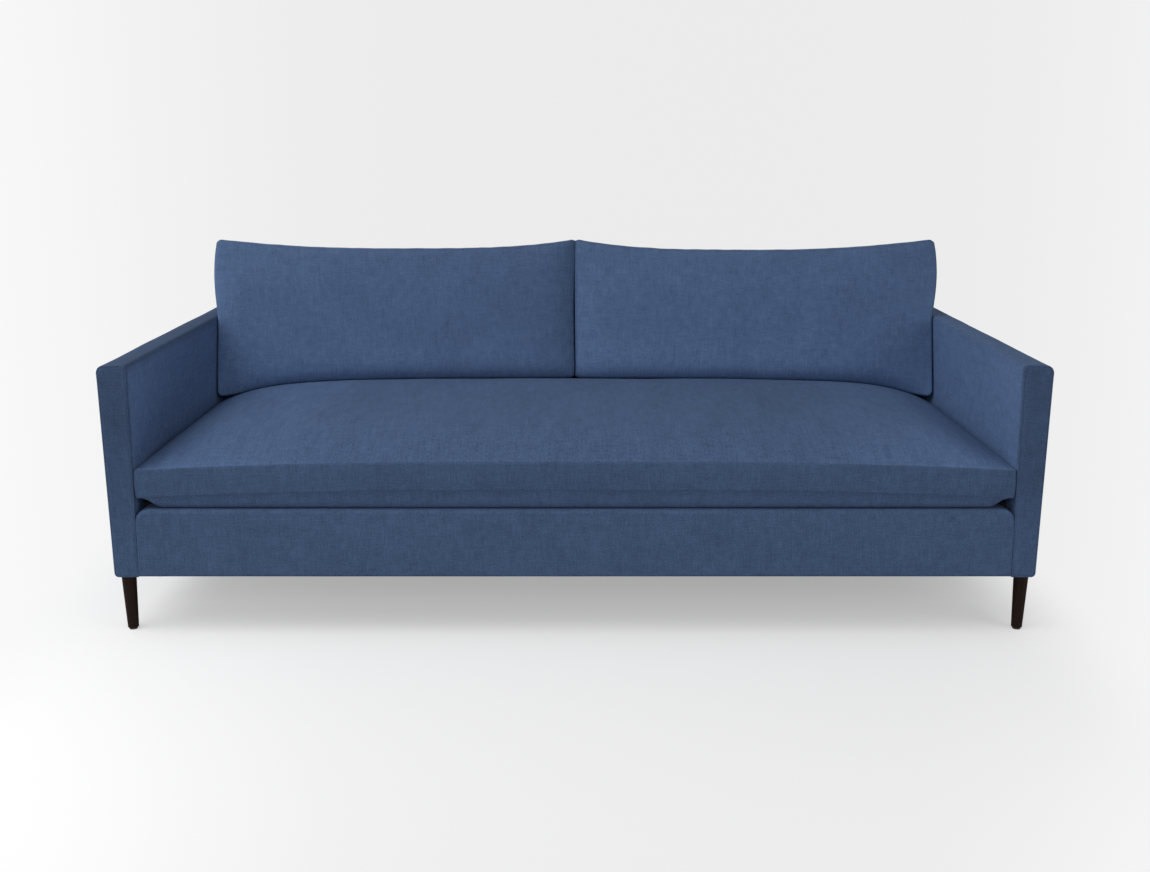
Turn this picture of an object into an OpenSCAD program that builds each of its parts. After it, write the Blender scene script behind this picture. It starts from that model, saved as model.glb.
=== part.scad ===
// Tuxedo sofa with slim straight arms, one bench seat cushion and two loose back cushions.
// Millimetres. X runs across the seat, Y from the front to the back, Z up from the floor.
// The origin is on the floor, under the middle of the sofa.

/* [Overall size] */
// Width over the arms
sofa_w = 2134; // [1700:2:2400]
// Depth from the front of the arms to the outside back
sofa_d = 965; // [900:1:1040]
// Height of the arms and of the back frame
arm_h = 639; // [600:1:700]
// Height of the underside above the floor
body_lift = 140.5; // [110:0.5:160]

/* [Arms] */
// Thickness of an arm at its top
arm_top_w = 67; // [62:0.5:90]
// Thickness of an arm at its underside
arm_bottom_w = 55.5; // [54:0.5:62]
// Rounding of the outer top edge of an arm
arm_top_r = 17; // [8:1:18]
// Rounding of the inner top edge of an arm and of the inside back
inner_top_r = 10; // [5:1:14]
// Rounding of the outer bottom edge of an arm
arm_bottom_r = 10; // [4:1:10]
// Rounding of the upright edges at the front of an arm
arm_front_r = 6; // [3:1:7]
// Rounding of the upright corner between an arm and the outside back
corner_r = 30; // [15:1:34]

/* [Back frame] */
// Thickness of the back at its top
back_top_w = 80; // [76:1:96]
// Lean of the inside back, in degrees
back_lean = 4; // [2:0.5:6]

/* [Seat deck] */
// Height of the deck that the seat cushion lies on
deck_h = 304; // [290:1:320]
// Rounding where the front rail's top drops beside each arm
rail_end_r = 35; // [20:1:40]
// Rounding of the front rail's top edge
rail_edge_r = 10; // [5:1:11]
// Depth of the upholstered lip over the front rail
rail_lip_d = 60; // [50:1:75]

/* [Seat cushion] */
// Clearance between the seat cushion and the foot of the inside back
seat_back_gap = 4; // [2:0.5:12]
// Clearance between the seat cushion and each arm
seat_side_gap = 0.8; // [0.5:0.1:6]
// Height of the cushion's upper seam at its ends, above the deck
seat_upper_seam = 93; // [88:1:100]
// Height of the cushion's lower seam at its ends, above the deck
seat_lower_seam = 25; // [20:1:32]
// Rise of both seams between the ends and the middle
seat_seam_rise = 20; // [8:1:24]
// Height of the crown above the upper seam
seat_crown = 64; // [40:1:70]
// How far the middle of the boxing stands out
seat_boxing_bulge = 3; // [1:0.5:5]
// How far the seat cushion's ends draw back at its front corners
seat_corner_draw = 3; // [2:1:14]

/* [Back cushions] */
// Height of a back cushion at its middle
back_cushion_h = 358; // [320:1:400]
// How far the top corners stand above the middle
back_ear_h = 26; // [6:1:30]
// Rounding of the top corners
back_ear_r = 14; // [6:1:24]
// Clearance between a back cushion and the arm
back_side_gap = 1.5; // [0.8:0.1:8]
// Gap between the two back cushions
back_middle_gap = 1; // [0.6:0.1:8]
// Distance from the inside back to the cushion's seam line, at its bottom
back_seam_inset = 72; // [70:1:90]
// How much further from the inside back's plane the seam line stands at the top
back_seam_shift = 2; // [0:1:20]
// Half thickness of the cushion along its sides
back_side_half = 57; // [40:1:60]
// How far the cushion's outer side swells out above the arm
back_arm_swell = 18; // [0:1:22]
// Height above the arm at which the swell is full
back_swell_rise = 60; // [40:5:100]
// Half thickness of the cushion along its top
back_top_half = 17; // [12:1:30]
// Half thickness of the cushion along its bottom
back_bottom_half = 60; // [40:1:66]
// How far the front of the cushion bulges past its edges
back_front_bulge = 34; // [20:1:60]
// How far the rear of the cushion bulges past its edges
back_rear_bulge = 46; // [30:1:50]
// Gap between a back cushion and what it rests on, the crown of the seat and the inside back
cushion_rest_gap = 0.4; // [0.3:0.1:0.8]

/* [Timber frame] */
// Thickness of the frame timber
timber_t = 38; // [30:0.5:39]
// Depth of the corner posts
post_d = 60; // [54:1:70]
// How far the tops of the side rails stand below the tops of the seat rails
side_rail_drop = 32; // [20:1:50]
// Height of the arm and back top rails
top_rail_h = 45; // [35:1:60]
// Height of the slats at the level of the seat
slat_h = 45; // [30:1:60]
// Height of the slats' undersides above the top of the seat rails
slat_lift = 16; // [10:1:30]
// Height of the stretchers under the seat
stretcher_h = 60; // [40:1:80]
// Width of the back uprights
upright_w = 45; // [30:1:60]
// Leg length of the triangular corner blocks
block_w = 90; // [60:1:110]
// Height of the corner blocks
block_h = 40; // [25:1:50]

/* [Frame screws] */
// Shank diameter of the frame screws
screw_d = 5; // [4:0.5:6]
// Length of the frame screws
screw_len = 75; // [60:1:90]
// Head diameter of the frame screws
screw_head_d = 9; // [8:0.5:11]
// Height of a screw head
screw_head_h = 3; // [2:0.5:4]
// How far a screw head is sunk below the face of its post
screw_sink = 2; // [1:0.5:3]

/* [Springs and webbing] */
// Number of spring strands
spring_count = 14; // [10:2:18]
// Wire thickness
wire_t = 3.8; // [3:0.1:4.5]
// Width of a spring's loops
spring_w = 60; // [50:1:66]
// Number of bends in a strand
spring_bends = 24; // [20:2:28]
// Thickness of the metal of a spring clip
clip_t = 1.2; // [1:0.1:2]
// Length of a spring clip along the rail
clip_w = 16; // [12:1:24]
// Thickness of the cross ties
tie_t = 2.4; // [1.6:0.1:3]
// Number of cross ties
tie_count = 2; // [1:1:3]
// Number of webbing straps in the back
strap_count = 10; // [6:1:12]
// Width of a webbing strap
strap_w = 60; // [50:1:70]
// Thickness of a webbing strap
strap_t = 1.8; // [1.2:0.1:2.5]

/* [Padding and covers] */
// Thickness of the cover fabric
cover_t = 1.5; // [1:0.1:2]
// Thickness of the wadding under the outside covers
outer_pad_t = 2; // [1:0.1:3]
// Thickness of the hardboard behind the outside covers
board_t = 3; // [2:0.5:3.5]
// Thickness of the padding on the front of the arms and of the rail
front_pad_t = 6; // [5:0.5:10]
// Thickness of the padding on top of the arms and of the back
top_pad_t = 12; // [8:0.5:16]
// Thickness of the padding on the inside back
back_pad_t = 22; // [16:0.5:24]
// Thickness of the padding on the deck
deck_pad_t = 12; // [8:0.5:16]
// Thickness of the insulator cloth over the springs
insulator_t = 1.5; // [1:0.1:2.5]
// Thickness of the dust cover
dust_t = 0.8; // [0.5:0.1:1.2]
// Thickness of the cushion covers
cushion_cover_t = 2; // [1.5:0.1:3]
// Thickness of the foam core of the seat cushion
core_t = 78; // [50:1:80]
// Distance from the core of the seat cushion to the cushion's edges
core_inset = 62; // [60:1:90]
// Clearance between nested layers
layer_gap = 0.3; // [0.2:0.05:0.5]

/* [Legs] */
// Diameter of a leg at its top
leg_top_d = 34; // [28:1:38]
// Diameter of a leg at its foot
leg_foot_d = 25; // [18:1:28]
// Distance from the outer face of the arm to the middle of a leg
leg_side_inset = 20; // [19:0.5:24]
// Distance from the front or the back of the sofa to the middle of a leg
leg_end_inset = 37; // [32:1:40]
// Rounding at the top of a leg
leg_top_round = 2; // [1:0.5:4]
// Height of a glide
glide_h = 5; // [3:0.5:8]
// Diameter of a glide
glide_d = 19; // [14:0.5:20]
// Length of the pin that holds a glide
glide_pin_len = 14; // [8:1:20]
// Diameter of the pin that holds a glide
glide_pin_d = 4; // [3:0.5:5]
// Diameter of the leg bolts
leg_bolt_d = 8; // [6:0.5:9]
// How far a leg bolt reaches into its leg
leg_bolt_down = 30; // [20:1:40]
// How far a leg bolt reaches above the underside
leg_bolt_up = 48; // [40:1:60]
// Outer diameter of the threaded insert in a post
insert_d = 13; // [12:0.5:14]
// Length of the threaded insert
insert_len = 22; // [16:1:28]
// Thickness of the leg plates
plate_t = 3; // [2:0.5:4]
// Width of the leg plates
plate_w = 30; // [28:1:31]
// Length of the leg plates
plate_len = 56; // [40:1:58]

/* [Zips] */
// Distance from the ends of the seat cushion to the ends of its zip
seat_zip_inset = 251; // [220:1:400]
// Distance from the ends of a back cushion to the ends of its zip
back_zip_inset = 119; // [100:1:200]
// Width of a zip's tapes together
zip_tape_w = 24; // [20:1:28]
// Thickness of the zip tape
zip_tape_t = 0.8; // [0.5:0.1:1.2]
// Width of the closed zip chain
zip_chain_w = 6; // [5:0.5:8]
// Height of the zip chain
zip_chain_t = 2.2; // [1.6:0.1:3]
// Length of a zip stop
zip_stop_len = 3; // [2:0.5:5]
// Length of a zip slider
slider_len = 12; // [9:0.5:16]
// Wall of a zip slider
slider_wall = 1.4; // [1:0.1:2]
// Clearance between a slider and its chain
slider_gap = 0.3; // [0.2:0.05:0.4]

/* [Hidden] */

$fn = 48;
cover_blue = [0.25, 0.34, 0.49];
timber_tan = [0.76, 0.62, 0.42];
leg_brown = [0.14, 0.10, 0.09];
pad_white = [0.93, 0.92, 0.88];
foam_cream = [0.95, 0.90, 0.72];
steel_grey = [0.62, 0.63, 0.65];
cloth_black = [0.12, 0.12, 0.13];

arc_steps = 5;
overrun = 5;

half_w = sofa_w / 2;
front_y = -sofa_d / 2;
rear_y = sofa_d / 2;
arm_slope = (arm_top_w - arm_bottom_w) / (arm_h - body_lift);
function inner_x(z) = half_w - arm_bottom_w - arm_slope * (z - body_lift);
function inside_back_y(z) = rear_y - back_top_w - (arm_h - z) * tan(back_lean);
function behind_skin(t) = t / cos(back_lean);

timber_out_x = half_w - cover_t - outer_pad_t - board_t;
timber_in_x = timber_out_x - timber_t;
timber_front_y = front_y + cover_t + front_pad_t;
timber_rear_y = rear_y - cover_t - outer_pad_t - board_t;
timber_bottom = body_lift + cover_t + plate_t;
board_bottom = timber_bottom + layer_gap;
timber_top = arm_h - cover_t - top_pad_t;
rail_top = deck_h - cover_t - deck_pad_t - insulator_t - clip_t - wire_t;
pad_bottom = deck_h - cover_t - deck_pad_t;
rail_end_top = deck_h - rail_end_r - cover_t;
rail_end_x = inner_x(deck_h) - rail_end_r;
side_rail_top = rail_top - side_rail_drop;
slat_z = rail_top + slat_lift;
skin_to_rail = behind_skin(cover_t + back_pad_t + strap_t);
upright_front_y = timber_rear_y - timber_t;

// Outlines

function unit(v) = v / norm(v);
function corner_arc(a, p, b, r) =
    r <= 0 ? [p] :
    let (
        to_a = unit(a - p),
        to_b = unit(b - p),
        half = acos(to_a * to_b) / 2,
        outward = -unit(to_a + to_b),
        centre = p - outward * r / sin(half),
        sweep = (cross(to_a, to_b) < 0 ? -1 : 1) * acos(-to_a * to_b) / 2
    )
    [for (i = [0:arc_steps])
        let (turn = atan2(outward.y, outward.x) + sweep * (1 - 2 * i / arc_steps))
        centre + r * [cos(turn), sin(turn)]];

// Each row of an outline is [across, up, radius of the corner].
function rounded(rows) = [
    for (i = [0:len(rows) - 1])
        let (
            a = rows[(i + len(rows) - 1) % len(rows)],
            p = rows[i],
            b = rows[(i + 1) % len(rows)]
        )
        each corner_arc([a.x, a.y], [p.x, p.y], [b.x, b.y], p.z)
];

// Prisms along Y from an outline in X and Z, and along X from an outline in Y and Z.
module prism_y(rows, from, to) {
    translate([0, to, 0]) rotate([90, 0, 0]) linear_extrude(to - from) polygon(rounded(rows));
}

module prism_x(rows, half) {
    translate([-half, 0, 0]) rotate([90, 0, 90]) linear_extrude(2 * half) polygon(rounded(rows));
}

module prism_z(rows, from, to) {
    translate([0, 0, from]) linear_extrude(to - from) polygon(rounded(rows));
}

module box(low, high) {
    translate(low) cube(high - low);
}

module both_sides() {
    children();
    mirror([1, 0, 0]) children();
}

module on_side(side) {
    mirror([side < 0 ? 1 : 0, 0, 0]) children();
}

// Arms. Each is drawn on the right and mirrored for the left.

function arm_profile(inset) = [
    [half_w - inset, body_lift + inset, arm_bottom_r - inset],
    [half_w - inset, arm_h - inset, arm_top_r - inset],
    [inner_x(arm_h - inset) + inset, arm_h - inset, inner_top_r - inset],
    [inner_x(body_lift + inset) + inset, body_lift + inset, 0],
];

function arm_plan(inset) = [
    [half_w - inset, front_y + inset, arm_front_r - inset],
    [half_w - inset, rear_y - inset, corner_r - inset],
    [0, rear_y - inset, 0],
    [0, front_y + inset, 0],
];

module arm_solid(inset) {
    intersection() {
        prism_y(arm_profile(inset), front_y + inset, rear_y - inset);
        prism_z(arm_plan(inset), 0, arm_h);
    }
}

// The inner skin of the arm stops where the deck, the front rail and the inside back meet it.
module inside_the_arms(gap) {
    box([0, timber_front_y + timber_t, 0], [timber_in_x, timber_rear_y, pad_bottom + gap]);
    box([0, timber_front_y - gap, 0], [timber_in_x, timber_front_y + timber_t + overrun, rail_end_top + gap]);
    difference() {
        box([0, front_y, 0], [timber_in_x, timber_rear_y + gap, timber_top + gap]);
        prism_x([
            [front_y - overrun, -overrun, 0],
            [inside_back_y(-overrun) + behind_skin(cover_t), -overrun, 0],
            [inside_back_y(arm_h) + behind_skin(cover_t), arm_h, 0],
            [front_y - overrun, arm_h, 0],
        ], half_w);
    }
}

module leg_places() {
    for (sx = [-1, 1], sy = [-1, 1])
        translate([sx * (half_w - leg_side_inset), sy * (sofa_d / 2 - leg_end_inset), 0])
            children();
}

module arm_cover(side) color(cover_blue) {
    difference() {
        on_side(side) difference() {
            arm_solid(0);
            arm_solid(cover_t);
            inside_the_arms(layer_gap);
        }
        leg_places() translate([0, 0, body_lift - overrun])
            cylinder(d = leg_bolt_d + 2 * layer_gap, h = cover_t + 2 * overrun);
    }
}

// The timber and the hardboard take up this room inside the arm's padding.
module arm_timber_room() {
    intersection() {
        box([timber_in_x, timber_front_y, body_lift], [timber_out_x, timber_rear_y, timber_top]);
        prism_z(arm_plan(cover_t + outer_pad_t + board_t), 0, arm_h);
    }
    box([timber_in_x, timber_front_y, body_lift],
        [half_w - cover_t - outer_pad_t, rear_y - corner_r, timber_top]);
    box([timber_in_x, timber_front_y, 0],
        [timber_out_x - arm_bottom_r, timber_rear_y, timber_bottom + overrun]);
}

module arm_pad(side) color(pad_white) {
    on_side(side) difference() {
        arm_solid(cover_t);
        arm_timber_room();
        inside_the_arms(layer_gap);
        box([0, front_y, 0], [half_w, rear_y, timber_bottom]);
    }
}

module arm_board(side) color(timber_tan) {
    on_side(side)
        box([timber_out_x, timber_front_y, board_bottom],
            [half_w - cover_t - outer_pad_t, rear_y - corner_r, timber_top]);
}

// Timber frame

// Screws run along X through the posts into the front and rear rails and the back's top rail.
module screw_places() {
    rear_screw_y = upright_front_y + timber_t / 2;
    screw_x = timber_out_x - screw_sink;
    both_sides() {
        for (share = [1 / 4, 3 / 4], y = [timber_front_y + timber_t / 2, rear_screw_y])
            translate([screw_x, y, timber_bottom + (side_rail_top - timber_bottom) * share])
                rotate([0, -90, 0]) children();
        translate([screw_x, rear_screw_y, timber_top - top_rail_h / 2]) rotate([0, -90, 0]) children();
    }
}

module frame_screws() color(steel_grey) {
    screw_places() {
        cylinder(d = screw_d, h = screw_len);
        cylinder(d = screw_head_d, h = screw_head_h);
    }
}

module screw_bores() {
    screw_places() {
        translate([0, 0, -overrun]) cylinder(d = screw_head_d + layer_gap, h = screw_head_h + overrun);
        cylinder(d = screw_d + layer_gap, h = screw_len + layer_gap);
    }
}

module leg_bores() {
    leg_places() {
        cylinder(d = insert_d + layer_gap, h = timber_bottom + insert_len);
        cylinder(d = leg_bolt_d + layer_gap, h = body_lift + leg_bolt_up + overrun);
    }
}

module front_post(side) color(timber_tan) {
    difference() {
        on_side(side)
            box([timber_in_x, timber_front_y, timber_bottom],
                [timber_out_x, timber_front_y + post_d, timber_top]);
        leg_bores();
        screw_bores();
    }
}

module rear_post(side) color(timber_tan) {
    difference() {
        on_side(side) intersection() {
            box([timber_in_x, timber_rear_y - post_d, timber_bottom],
                [timber_out_x, timber_rear_y, timber_top]);
            prism_z(arm_plan(cover_t + outer_pad_t + board_t), 0, arm_h);
        }
        leg_bores();
        screw_bores();
    }
}

// A bar inside an arm, between its two posts.
module arm_bar(side, bottom, top) {
    on_side(side)
        box([timber_in_x, timber_front_y + post_d, bottom], [timber_out_x, timber_rear_y - post_d, top]);
}

module side_rail(side) color(timber_tan) arm_bar(side, timber_bottom, side_rail_top);
module arm_top_rail(side) color(timber_tan) arm_bar(side, timber_top - top_rail_h, timber_top);
module arm_slat(side) color(timber_tan) arm_bar(side, slat_z, slat_z + slat_h);

module front_seat_rail() color(timber_tan) {
    difference() {
        box([-timber_in_x, timber_front_y, timber_bottom],
            [timber_in_x, timber_front_y + timber_t, rail_top]);
        both_sides()
            box([rail_end_x, timber_front_y - overrun, rail_end_top],
                [timber_in_x + overrun, timber_front_y + timber_t + overrun, rail_top + overrun]);
        screw_bores();
    }
}

module rear_seat_rail() color(timber_tan) {
    difference() {
        box([-timber_in_x, upright_front_y, timber_bottom], [timber_in_x, timber_rear_y, rail_top]);
        screw_bores();
    }
}

// The front faces of the back's rails lie in the leaning plane that the webbing is stretched over.
module leaning_bar(bottom, top, rear) {
    prism_x([
        [inside_back_y(bottom) + skin_to_rail, bottom, 0],
        [rear, bottom, 0],
        [rear, top, 0],
        [inside_back_y(top) + skin_to_rail, top, 0],
    ], timber_in_x);
}

module back_top_rail() color(timber_tan) {
    difference() {
        leaning_bar(timber_top - top_rail_h, timber_top, timber_rear_y);
        screw_bores();
    }
}

module back_slat() color(timber_tan) leaning_bar(slat_z, slat_z + slat_h, upright_front_y);

// Uprights and stretchers stand midway between two springs.
spring_pitch = 2 * (inner_x(deck_h) - 1.5 * spring_w) / (spring_count - 1);
inner_bar_x = spring_pitch * 2;

module back_uprights() color(timber_tan) {
    both_sides() translate([inner_bar_x, 0, 0])
        box([-upright_w / 2, upright_front_y, rail_top],
            [upright_w / 2, timber_rear_y, timber_top - top_rail_h]);
}

module seat_stretchers() color(timber_tan) {
    both_sides() translate([inner_bar_x, 0, 0])
        box([-timber_t / 2, timber_front_y + timber_t, timber_bottom],
            [timber_t / 2, upright_front_y, timber_bottom + stretcher_h]);
}

module corner_blocks() color(timber_tan) {
    for (sx = [-1, 1], sy = [-1, 1])
        let (y = sy < 0 ? timber_front_y + timber_t : upright_front_y)
            translate([sx * timber_in_x, y, timber_bottom])
                mirror([sx > 0 ? 1 : 0, 0, 0]) mirror([0, sy > 0 ? 1 : 0, 0])
                    linear_extrude(block_h) polygon([[0, 0], [block_w, 0], [0, block_w]]);
}

// Springs and webbing

spring_front_y = timber_front_y + timber_t / 2;
spring_rear_y = timber_rear_y - timber_t / 2;
insulator_front_y = spring_front_y + wire_t / 2 + layer_gap + clip_t;
// Rounded to a hundredth, so that the straight pieces and the bends meet exactly.
spring_bend_r = round((spring_rear_y - spring_front_y) / spring_bends / 2 * 100) / 100;
spring_run = 2 * spring_bends * spring_bend_r;
bend_x = spring_w / 2 - spring_bend_r;

module spring_bend() {
    difference() {
        circle(r = spring_bend_r + wire_t / 2);
        circle(r = spring_bend_r - wire_t / 2);
        translate([-2 * spring_bend_r, -2 * spring_bend_r]) square([2 * spring_bend_r, 4 * spring_bend_r]);
    }
}

module spring_strand() {
    linear_extrude(wire_t) {
        for (i = [0:spring_bends])
            translate([-bend_x, 2 * i * spring_bend_r - wire_t / 2]) square([2 * bend_x, wire_t]);
        for (i = [0:spring_bends - 1])
            translate([0, (2 * i + 1) * spring_bend_r])
                mirror([i % 2, 0]) translate([bend_x, 0]) spring_bend();
    }
}

module spring_places() {
    for (i = [0:spring_count - 1])
        translate([(i - (spring_count - 1) / 2) * spring_pitch, spring_front_y, rail_top]) children();
}

module seat_springs() color(steel_grey) spring_places() spring_strand();

// Each clip holds the straight end of a strand down on its rail.
module spring_clips() color(steel_grey) {
    clip_d = wire_t + 2 * layer_gap + 2 * clip_t;
    spring_places()
        for (y = [0, spring_run])
            translate([-clip_w / 2, y, 0]) difference() {
                box([0, -clip_d / 2, 0], [clip_w, clip_d / 2, wire_t + clip_t]);
                box([-overrun, -wire_t / 2 - layer_gap, -overrun],
                    [clip_w + overrun, wire_t / 2 + layer_gap, wire_t]);
            }
}

module spring_ties() color(steel_grey) {
    tie_half = (spring_count - 1) / 2 * spring_pitch + spring_w / 2;
    for (k = [1:tie_count])
        let (bend = round(spring_bends * k / (tie_count + 1)))
            translate([-tie_half, spring_front_y + 2 * bend * spring_bend_r - tie_t / 2, rail_top - tie_t])
                cube([2 * tie_half, tie_t, tie_t]);
}

module back_webbing() color(cloth_black) {
    strap_pitch = 2 * (timber_in_x - arm_top_w) / strap_count;
    strap_top = timber_top - layer_gap;
    for (i = [0:strap_count - 1])
        translate([(i - (strap_count - 1) / 2) * strap_pitch, 0, 0])
            prism_x([
                [inside_back_y(slat_z) + skin_to_rail - behind_skin(strap_t), slat_z, 0],
                [inside_back_y(slat_z) + skin_to_rail, slat_z, 0],
                [inside_back_y(strap_top) + skin_to_rail, strap_top, 0],
                [inside_back_y(strap_top) + skin_to_rail - behind_skin(strap_t), strap_top, 0],
            ], strap_w / 2);
}

// Back covers and padding, cut to the room between the arms

module between_arms(gap) {
    prism_y([
        [inner_x(0) - gap, 0, 0],
        [inner_x(arm_h + overrun) - gap, arm_h + overrun, 0],
        [-inner_x(arm_h + overrun) + gap, arm_h + overrun, 0],
        [-inner_x(0) + gap, 0, 0],
    ], front_y - overrun, rear_y + overrun);
}

function back_profile(inset) = [
    [rear_y - inset, body_lift + inset, arm_bottom_r - inset],
    [rear_y - inset, arm_h - inset, arm_top_r - inset],
    [inside_back_y(arm_h - inset) + behind_skin(inset), arm_h - inset, inner_top_r - inset],
    [inside_back_y(body_lift + inset) + behind_skin(inset), body_lift + inset, 0],
];

// The inside back's skin and padding stop at the deck; the outside goes on down to the underside.
module below_inside_back() {
    box([-half_w, front_y, 0], [half_w, upright_front_y, pad_bottom]);
}

module back_shell() {
    intersection() {
        difference() {
            prism_x(back_profile(0), half_w);
            prism_x(back_profile(cover_t), half_w + overrun);
            below_inside_back();
        }
        between_arms(layer_gap);
    }
}

module outside_back_zone() {
    box([-half_w, upright_front_y - overrun, 0], [half_w, rear_y + overrun, arm_h - arm_top_r]);
}

module inside_back_cover() color(cover_blue) {
    difference() {
        back_shell();
        outside_back_zone();
    }
}

module outside_back_cover() color(cover_blue) {
    intersection() {
        back_shell();
        outside_back_zone();
    }
}

module back_pad() color(pad_white) {
    intersection() {
        difference() {
            prism_x(back_profile(cover_t), half_w);
            prism_x([
                [inside_back_y(0) + skin_to_rail - behind_skin(strap_t), 0, 0],
                [timber_rear_y + board_t, 0, 0],
                [timber_rear_y + board_t, timber_top, 0],
                [inside_back_y(timber_top) + skin_to_rail - behind_skin(strap_t), timber_top, 0],
            ], half_w + overrun);
            below_inside_back();
            box([-half_w, front_y, 0], [half_w, rear_y, timber_bottom]);
        }
        between_arms(layer_gap);
    }
}

module back_board() color(timber_tan) {
    board_half = inner_x(arm_h) - layer_gap;
    box([-board_half, timber_rear_y, board_bottom], [board_half, timber_rear_y + board_t, timber_top]);
}

// Front rail and deck

function rail_front(inset) = [
    [inner_x(body_lift) - layer_gap - inset, body_lift + inset, 0],
    [inner_x(deck_h) - layer_gap - inset, deck_h - inset, rail_end_r - inset],
    [-inner_x(deck_h) + layer_gap + inset, deck_h - inset, rail_end_r - inset],
    [-inner_x(body_lift) + layer_gap + inset, body_lift + inset, 0],
];

function rail_side(inset, rear) = [
    [front_y + inset, body_lift + inset, arm_front_r - inset],
    [rear, body_lift + inset, 0],
    [rear, deck_h - inset, 0],
    [front_y + inset, deck_h - inset, rail_edge_r - inset],
];

module rail_solid(inset, rear) {
    intersection() {
        prism_x(rail_side(inset, rear), half_w);
        prism_y(rail_front(inset), front_y, rear + overrun);
    }
}

// The ends of the timber, the insulator and the way back to the deck are left open in the rail's cover.
module front_rail_cover() color(cover_blue) {
    lip_y = front_y + rail_lip_d;
    rail_back_y = timber_front_y + timber_t;
    difference() {
        rail_solid(0, lip_y);
        rail_solid(cover_t, lip_y + overrun);
        box([-half_w, rail_back_y, 0], [half_w, lip_y + overrun, pad_bottom]);
        box([-half_w, insulator_front_y, pad_bottom - insulator_t], [half_w, lip_y + overrun, pad_bottom]);
        both_sides()
            box([rail_end_x, front_y + cover_t, body_lift + cover_t],
                [half_w, rail_back_y + overrun, rail_end_top + layer_gap]);
    }
}

module front_rail_pad() color(pad_white) {
    intersection() {
        rail_solid(cover_t, front_y + rail_lip_d);
        box([-half_w, front_y, timber_bottom], [half_w, timber_front_y, deck_h]);
    }
}

module deck_sheet(low, high, from_y) {
    intersection() {
        box([-half_w, from_y, low], [half_w, inside_back_y(low) - layer_gap, high]);
        between_arms(layer_gap);
    }
}

module deck_insulator() color(cloth_black) {
    deck_sheet(pad_bottom - insulator_t, pad_bottom, insulator_front_y);
}

module deck_pad() color(pad_white) {
    lip_y = front_y + rail_lip_d;
    intersection() {
        rail_solid(cover_t, lip_y + overrun);
        box([-half_w, timber_front_y, pad_bottom], [half_w, lip_y + overrun, deck_h]);
    }
    deck_sheet(pad_bottom, deck_h - cover_t, lip_y);
}

module deck_cover() color(cloth_black) deck_sheet(deck_h - cover_t, deck_h, front_y + rail_lip_d);

module dust_cover() color(cloth_black) {
    dust_inset = cover_t + arm_bottom_r + rail_edge_r;
    box([-timber_in_x, front_y + dust_inset, body_lift - dust_t],
        [timber_in_x, rear_y - dust_inset, body_lift]);
}

// Legs

module leg_solid() {
    rotate_extrude()
        polygon([
            [0, glide_h],
            [leg_foot_d / 2, glide_h],
            [leg_top_d / 2, body_lift - leg_top_round],
            [leg_top_d / 2 - leg_top_round, body_lift],
            [0, body_lift],
        ]);
}

module leg(sx, sy) color(leg_brown) {
    translate([sx * (half_w - leg_side_inset), sy * (sofa_d / 2 - leg_end_inset), 0]) difference() {
        leg_solid();
        translate([0, 0, body_lift - leg_bolt_down - layer_gap])
            cylinder(d = leg_bolt_d + layer_gap, h = leg_bolt_down + overrun);
        cylinder(d = glide_pin_d + layer_gap, h = glide_h + glide_pin_len + layer_gap);
    }
}

module leg_bolts() color(steel_grey) {
    leg_places() translate([0, 0, body_lift - leg_bolt_down])
        cylinder(d = leg_bolt_d, h = leg_bolt_down + leg_bolt_up);
}

module leg_inserts() color(steel_grey) {
    leg_places() difference() {
        translate([0, 0, timber_bottom]) cylinder(d = insert_d, h = insert_len);
        cylinder(d = leg_bolt_d + layer_gap, h = timber_bottom + insert_len + overrun);
    }
}

module leg_plates() color(steel_grey) {
    plate_x = half_w - arm_bottom_r - layer_gap - plate_w / 2;
    difference() {
        for (sx = [-1, 1], sy = [-1, 1])
            translate([sx * plate_x, sy * (sofa_d / 2 - leg_end_inset), timber_bottom - plate_t / 2])
                cube([plate_w, plate_len, plate_t], center = true);
        leg_places() cylinder(d = leg_bolt_d + layer_gap, h = timber_bottom + overrun);
    }
}

module leg_glides() color(cloth_black) {
    leg_places() {
        cylinder(d = glide_d, h = glide_h);
        cylinder(d = glide_pin_d, h = glide_h + glide_pin_len);
    }
}

// Cushions. A cushion is two crowned panels over the same grid, joined by a band around their edges.

// Grid shares that crowd towards the edges, where a cushion's shoulders turn.
function edge_share(i, n) = sin(90 * (2 * i / n - 1));
function power(share, exponent) = pow(abs(share), exponent);

// The band takes the rim of the grid in order, once around.
function rim(nu, nv) = concat(
    [for (i = [0:nu - 1]) [i, 0]],
    [for (j = [0:nv - 1]) [nu, j]],
    [for (i = [nu:-1:1]) [i, nv]],
    [for (j = [nv:-1:1]) [0, j]]
);

// first and second hold the two panels' points, row by row, and middle the band's bulged line.
module cushion_body(first, second, middle, nu, nv) {
    count = (nu + 1) * (nv + 1);
    ring = rim(nu, nv);
    turns = len(ring);
    function at(i, j) = j * (nu + 1) + i;
    first_faces = [for (j = [0:nv - 1], i = [0:nu - 1])
        each [[at(i, j), at(i + 1, j + 1), at(i, j + 1)], [at(i, j), at(i + 1, j), at(i + 1, j + 1)]]];
    second_faces = [for (f = first_faces) [f[0] + count, f[2] + count, f[1] + count]];
    band_faces = [for (k = [0:turns - 1])
        let (
            n = (k + 1) % turns,
            a = at(ring[k].x, ring[k].y),
            b = at(ring[n].x, ring[n].y),
            m = 2 * count + k,
            p = 2 * count + n
        )
        each [[a, p, b], [a, m, p], [m, b + count, p], [m, a + count, b + count]]];
    polyhedron(points = concat(first, second, middle), faces = concat(first_faces, second_faces, band_faces));
}

// Seat cushion

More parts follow.
